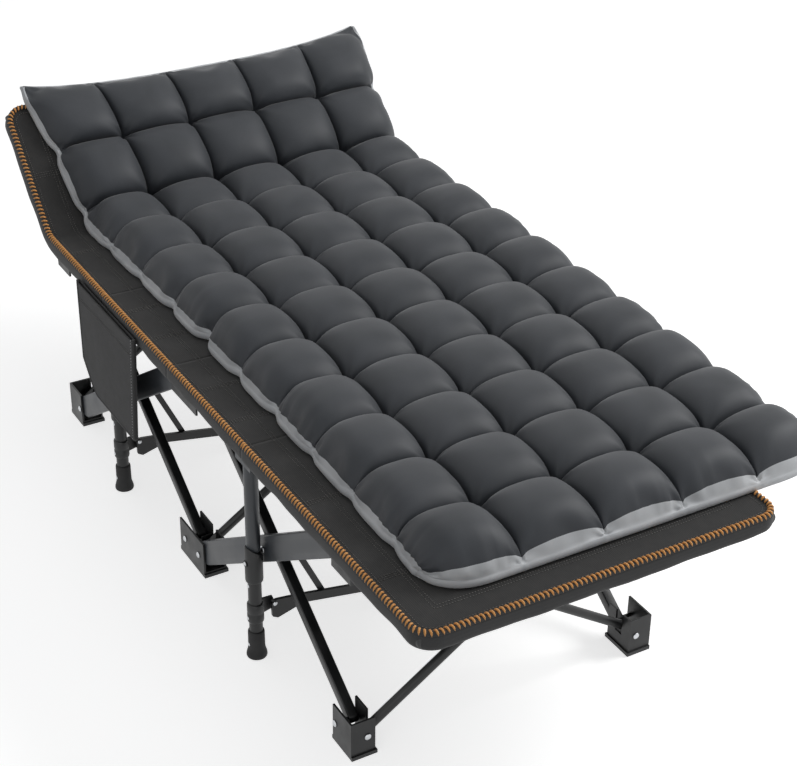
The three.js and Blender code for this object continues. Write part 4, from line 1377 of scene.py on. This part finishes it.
        far = np.maximum(np.linalg.norm(move, axis=1, keepdims=True), 1e-9)
        move = move * np.minimum(1, cap / far)
        move[held & (upper < 0.5)] = 0
        mesh.vertices.foreach_set("co", (before + move).ravel())
        mesh.update()

    def smooth(self, piece):
        """One applied level of subdivision."""
        level = piece.modifiers.new("finer", "SUBSURF")
        level.levels = level.render_levels = 1
        evaluated = piece.evaluated_get(bpy.context.evaluated_depsgraph_get())
        finer = bpy.data.meshes.new_from_object(evaluated)
        piece.modifiers.clear()
        piece.data = finer
        piece.data.name = "mattress_pad"

    def folds(self, piece):
        """Small folds in the cover: rays about each tuft, exp(-r / 0.17) * cos(8 t), and short gathers along
        the foot and side seams, fading upwards within a third of a puff."""
        m = mattress_sizes()
        mesh = piece.data
        row, column, upper = (self.read(mesh, n) for n in ("row", "column", "upper"))
        co = self.places(mesh)
        normals = np.empty(len(mesh.vertices) * 3)
        mesh.vertices.foreach_get("normal", normals)
        normals = normals.reshape(-1, 3)
        dr, dc = row - np.round(row), column - np.round(column)
        distance = np.hypot(dr, dc)
        turn = np.arctan2(dr, dc)
        phase = np.round(row) * 2.1 + np.round(column) * 1.3
        rays = 2.4 * np.exp(-distance / 0.17) * np.cos(8 * turn + phase) * (distance > 0.02)
        seam = np.minimum(np.minimum(m.rows - row, column), m.columns - column).clip(0, 1)
        along = np.where(m.rows - row < np.minimum(column, m.columns - column), column, row)
        gathers = np.sin(along * 38 + 2.5 * np.sin(along * 7)) * np.exp(-seam / 0.16)
        gathers *= 2.6 * (0.5 + 0.5 * np.sin(along * 2.3 + 1)) * np.clip(seam / 0.03, 0, 1)
        lift = np.where(upper > 0.99, rays + gathers * (row > 1), 0.0)
        co += normals * (lift * MM)[:, None]
        mesh.vertices.foreach_set("co", co.ravel())
        mesh.update()


class COT_OT_pocket(PieceOperator, bpy.types.Operator):
    """Side pocket with bound edges and stitching"""

    bl_idname = "cot.pocket"
    bl_label = "Side pocket"

    def execute(self, context):
        low, high = ((np.array(p) - ORIGIN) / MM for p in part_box("side_pocket"))
        left, right, bottom, top = low[0], high[0], low[2], high[2] + 8
        cut = 70.0
        body = "leg_head_near"
        back = self.wall(left, right, bottom, top, cut, high[1] - 4.2, 0.0)
        front = self.wall(left, right, bottom, top - 3, cut, low[1] + 3.2, -3.0)
        points = np.concatenate([back[0], front[0]])
        faces = np.concatenate([back[1], front[1] + len(back[0])])
        uv = np.concatenate([back[2], front[2]])
        cloth = new_piece("side_pocket_cloth", place(points), faces, "mesh_cloth", uv)
        wall = cloth.modifiers.new("cloth", "SOLIDIFY")
        wall.thickness = 1.1 * MM
        wall.offset = 0
        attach(cloth, body)
        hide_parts("side_pocket")
        middle_y = (low[1] + high[1]) / 2 - 0.6
        self.binding(left, right, bottom, top, cut, middle_y, body)
        self.stitches(left, right, bottom, top, cut, low[1] + 1.6, body)
        self.hem(left, right, top, low[1] + 2.4, body)
        return {"FINISHED"}

    def low_edge(self, x, left, bottom, cut):
        """The pocket's lower edge: level, with the head-side corner cut off and both its turns rounded."""
        past = (left + cut - x) / cut
        soft = 0.16
        round_turn = np.where(past > -soft, (past + soft) ** 2 / (4 * soft), 0)
        ease = np.where(past > soft, past - soft / 2, round_turn)
        return bottom + cut * np.clip(ease, 0, None)

    def wall(self, left, right, bottom, top, cut, y, bulge):
        """One wall over x and a share s from the lower edge to the top, which stands out by
        bulge * sin(pi x) * sin(1.15 pi s) ** 0.8."""
        x = np.linspace(left + 1.5, right - 1.5, 61)[:, None]
        s = np.linspace(0, 1, 41)[None, :]
        low = self.low_edge(x, left, bottom, cut) + 1.5
        z = low + (top - low) * s
        share = (x - left) / (right - left)
        out = y + bulge * np.sin(math.pi * share) * np.sin(math.pi * np.clip(s * 1.15, 0, 1)) ** 0.8
        out = out + 0.5 * np.sin(x / 21.0 + z / 47.0) * (s * (1.2 - s))
        x = self.slanted(x, z, left, right, bottom, top)
        points = np.stack(np.broadcast_arrays(x, out, z), -1).reshape(-1, 3)
        uv = np.stack(np.broadcast_arrays(x, z), -1).reshape(-1, 2) * MM
        return points, grid_faces(61, 41), uv

    def slanted(self, x, z, left, right, bottom, top):
        """The foot-side edge leans in by 28 mm at the bottom; what lies inside it leans in proportion."""
        return x - 28.0 * (x - left) / (right - left) * (top - z) / (top - bottom)

    def edge_line(self, left, right, bottom, top, cut, inset, spacing=6.0):
        """The way round the pocket's open outline, from the head side down, along and up, evenly spaced."""
        x = np.linspace(left + inset, right - inset, 200)
        z = self.low_edge(x, left, bottom, cut) + inset
        line = np.concatenate([[[left + inset, top]], np.column_stack([x, z]), [[right - inset, top]]])
        line[:, 0] = self.slanted(line[:, 0], line[:, 1], left, right, bottom, top)
        steps = np.r_[0, np.cumsum(np.linalg.norm(np.diff(line, axis=0), axis=1))]
        even = np.linspace(0, steps[-1], int(steps[-1] / spacing))
        return np.column_stack([np.interp(even, steps, line[:, k]) for k in (0, 1)])

    def binding(self, left, right, bottom, top, cut, y, body):
        """Folded tape over the edge: a flat oval section carried round the outline."""
        line = self.edge_line(left, right, bottom, top, cut, 3.0)
        path = np.column_stack([line[:, 0], np.full(len(line), y), line[:, 1]])
        tangent = along_path(path)
        across = unit(np.cross(tangent, [0.0, 1.0, 0.0]))
        angle = np.linspace(0, 2 * math.pi, 12, endpoint=False)[None, :, None]
        wide = np.cos(angle) * across[:, None] * 4.2
        rings = path[:, None] + wide + np.sin(angle) * np.array([0, 4.9, 0.0])
        faces = grid_faces(len(path), 12, wrap_columns=True).tolist()
        faces += [list(range(12)), list(range(len(path) * 12 - 12, len(path) * 12))]
        made = new_piece_mixed("side_pocket_binding", place(rings.reshape(-1, 3)), faces, "binding")
        outward_fixed(made)
        layer = made.data.uv_layers.new(name="cloth")
        corner = np.empty(len(made.data.loops), np.int32)
        made.data.loops.foreach_get("vertex_index", corner)
        layer.data.foreach_set("uv", (rings.reshape(-1, 3)[corner][:, [0, 2]] * MM).ravel())
        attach(made, body)
        return made

    def stitches(self, left, right, bottom, top, cut, y, body):
        """Pale stitches up the foot-side edge, through the binding."""
        line = self.edge_line(left, right, bottom, top, cut, 4.0, 7.0)
        line = line[(line[:, 0] > right - 34) & (line[:, 1] > bottom + 6)]
        path = np.column_stack([line[:, 0], np.full(len(line), y - 1.9), line[:, 1]])
        tangent = along_path(path)
        a, b = path - tangent * 2.2, path + tangent * 2.2
        middles = (a + b) / 2 + [0, -0.5, 0]
        return capsules(
            "side_pocket_stitches", a, middles, b, 0.9, body, "light_yarn", "deck_fabric", 5, 5
        )

    def hem(self, left, right, top, y, body):
        """Two lines of stitches under the mouth."""
        x = np.arange(left + 9, right - 9, 5.0)
        drops = np.repeat([38.0, 43.0], len(x))
        path = np.column_stack([np.tile(x, 2), np.full(len(drops), y), top - drops])
        a, b = path - [1.7, 0, 0], path + [1.7, 0, 0]
        middles = (a + b) / 2 + [0, -0.4, 0]
        return capsules("side_pocket_hem", a, middles, b, 0.6, body, "dark_yarn", "deck_fabric", 4, 4)


class COT_OT_stage(PieceOperator, bpy.types.Operator):
    """Floor, soft studio light and camera"""

    bl_idname = "cot.stage"
    bl_label = "Stage"

    def execute(self, context):
        self.floor()
        self.world()
        self.lights()
        self.camera()
        bpy.context.scene.view_settings.view_transform = "Standard"
        return {"FINISHED"}

    def seen_as_white(self, tree):
        """One for rays of the camera, of gloss and through glass, and nothing for all other light."""
        path = add_node(tree, "ShaderNodeLightPath")
        any_ray = path.outputs["Is Camera Ray"]
        for name in ("Is Glossy Ray", "Is Transmission Ray"):
            rays = {0: any_ray, 1: path.outputs[name]}
            any_ray = add_node(tree, "ShaderNodeMath", {"operation": "MAXIMUM"}, rays).outputs[0]
        return any_ray

    def floor(self):
        """A pale floor that keeps the object's soft shadow, on a wide square just under the feet."""
        half = 40.0
        points = [(-half, -half, 0), (half, -half, 0), (half, half, 0), (-half, half, 0)]
        mesh = bpy.data.meshes.new("floor")
        mesh.from_pydata(np.array(points) - [0, 0, 0.0005], [], [(0, 1, 2, 3)])
        made = bpy.data.objects.new("floor", mesh)
        bpy.context.scene.collection.objects.link(made)
        material, tree = new_material("matt_white_floor")
        diffuse = add_node(tree, "ShaderNodeBsdfDiffuse", {"Color": linear("#e9e9e8")})
        glow = add_node(tree, "ShaderNodeEmission", {"Color": linear("#ffffff"), "Strength": 0.7})
        path = self.seen_as_white(tree)
        # The floor's own light is added only where it is looked at, so that it reads white round the shadow.
        share = add_node(tree, "ShaderNodeMixShader", links={0: path, 2: glow.outputs[0]})
        black = add_node(tree, "ShaderNodeEmission", {"Color": [0, 0, 0, 1], "Strength": 0.0})
        tree.links.new(black.outputs[0], share.inputs[1])
        total = add_node(tree, "ShaderNodeAddShader", links={0: diffuse.outputs[0], 1: share.outputs[0]})
        finish_surface(tree, total)
        mesh.materials.append(material)

    def world(self):
        world = bpy.data.worlds.new("studio")
        bpy.context.scene.world = world
        world.use_nodes = True
        tree = world.node_tree
        tree.nodes.clear()
        soft = add_node(tree, "ShaderNodeBackground", {"Color": linear("#f2f4f7"), "Strength": 0.24})
        white = add_node(tree, "ShaderNodeBackground", {"Color": linear("#ffffff"), "Strength": 1.0})
        path = self.seen_as_white(tree)
        shaders = {0: path, 1: soft.outputs[0], 2: white.outputs[0]}
        mixed = add_node(tree, "ShaderNodeMixShader", links=shaders)
        add_node(tree, "ShaderNodeOutputWorld", links={0: mixed.outputs[0]})

    def lights(self):
        """A large key from the picture's right and a weak fill from its left."""
        for name, spot, power, size in (
            ("key_light", (1.2, 3.6, 3.4), 120.0, 2.0),
            ("front_fill", (3.2, -3.2, 2.2), 16.0, 3.0),
            ("top_light", (-0.6, 0.2, 4.2), 16.0, 3.0),
        ):
            lamp = bpy.data.lights.new(name, "AREA")
            lamp.energy = power
            lamp.size = size
            made = bpy.data.objects.new(name, lamp)
            bpy.context.scene.collection.objects.link(made)
            made.location = spot
            target = np.array([0, 0, 0.35]) - np.array(spot)
            made.rotation_euler = look_along(target)

    def camera(self):
        """A long lens from above the foot end's near corner, a little rolled."""
        lens_width = 36.0
        focal_share = 2.29707  # focal length over the picture's width
        data = bpy.data.cameras.new("camera")
        data.sensor_fit = "HORIZONTAL"
        data.sensor_width = lens_width
        data.lens = lens_width * focal_share
        data.clip_end = 50
        made = bpy.data.objects.new("camera", data)
        bpy.context.scene.collection.objects.link(made)
        azimuth, elevation, roll = math.radians(59.78), math.radians(30.53), math.radians(0.69)
        made.location = place((2817.2, -1486.2, 2212.5))
        level = math.cos(elevation)
        back = np.array([math.sin(azimuth) * level, -math.cos(azimuth) * level, math.sin(elevation)])
        made.rotation_euler = look_along(-back, roll)
        bpy.context.scene.camera = made


def look_along(direction, roll=0.0):
    """Euler angles that point an object's -Z along direction, upright, then rolled about it."""
    forward = unit(np.asarray(direction, float))
    right = unit(np.cross(forward, [0.0, 0.0, 1.0]))
    up = np.cross(right, forward)
    turned_right = math.cos(roll) * right + math.sin(roll) * up
    turned_up = math.cos(roll) * up - math.sin(roll) * right
    from_axes = np.column_stack([turned_right, turned_up, -forward])
    return Matrix(from_axes.tolist()).to_euler()


class COT_PT_panel(bpy.types.Panel):
    """Lists the cot's operators and its main sizes"""

    bl_idname = "COT_PT_panel"
    bl_label = "Folding cot"
    bl_space_type = "VIEW_3D"
    bl_region_type = "UI"
    bl_category = "Cot"

    def draw(self, context):
        for operator in OPERATORS:
            self.layout.operator(operator.bl_idname)
        for group in (deck_sizes(), mattress_sizes(), frame_sizes(), colours()):
            box = self.layout.box()
            for name in group.__annotations__:
                box.prop(group, name)


GROUPS = {
    "cot_deck": CotDeckSizes,
    "cot_mattress": CotMattressSizes,
    "cot_frame": CotFrameSizes,
    "cot_colours": CotColours,
}
OPERATORS = (
    COT_OT_blocks,
    COT_OT_bars,
    COT_OT_cross_tubes,
    COT_OT_rails,
    COT_OT_legs,
    COT_OT_spreaders,
    COT_OT_deck,
    COT_OT_mattress,
    COT_OT_pocket,
    COT_OT_stage,
)


def register():
    for name, group in GROUPS.items():
        bpy.utils.register_class(group)
        setattr(bpy.types.Scene, name, bpy.props.PointerProperty(type=group))
    for made in (*OPERATORS, COT_PT_panel):
        bpy.utils.register_class(made)


def unregister():
    for made in (COT_PT_panel, *reversed(OPERATORS)):
        bpy.utils.unregister_class(made)
    for name, group in reversed(GROUPS.items()):
        delattr(bpy.types.Scene, name)
        bpy.utils.unregister_class(group)


def main():
    register()
    make_finishes()
    for operator in OPERATORS:
        area, name = operator.bl_idname.split(".")
        getattr(getattr(bpy.ops, area), name)()


if __name__ == "__main__":
    main()
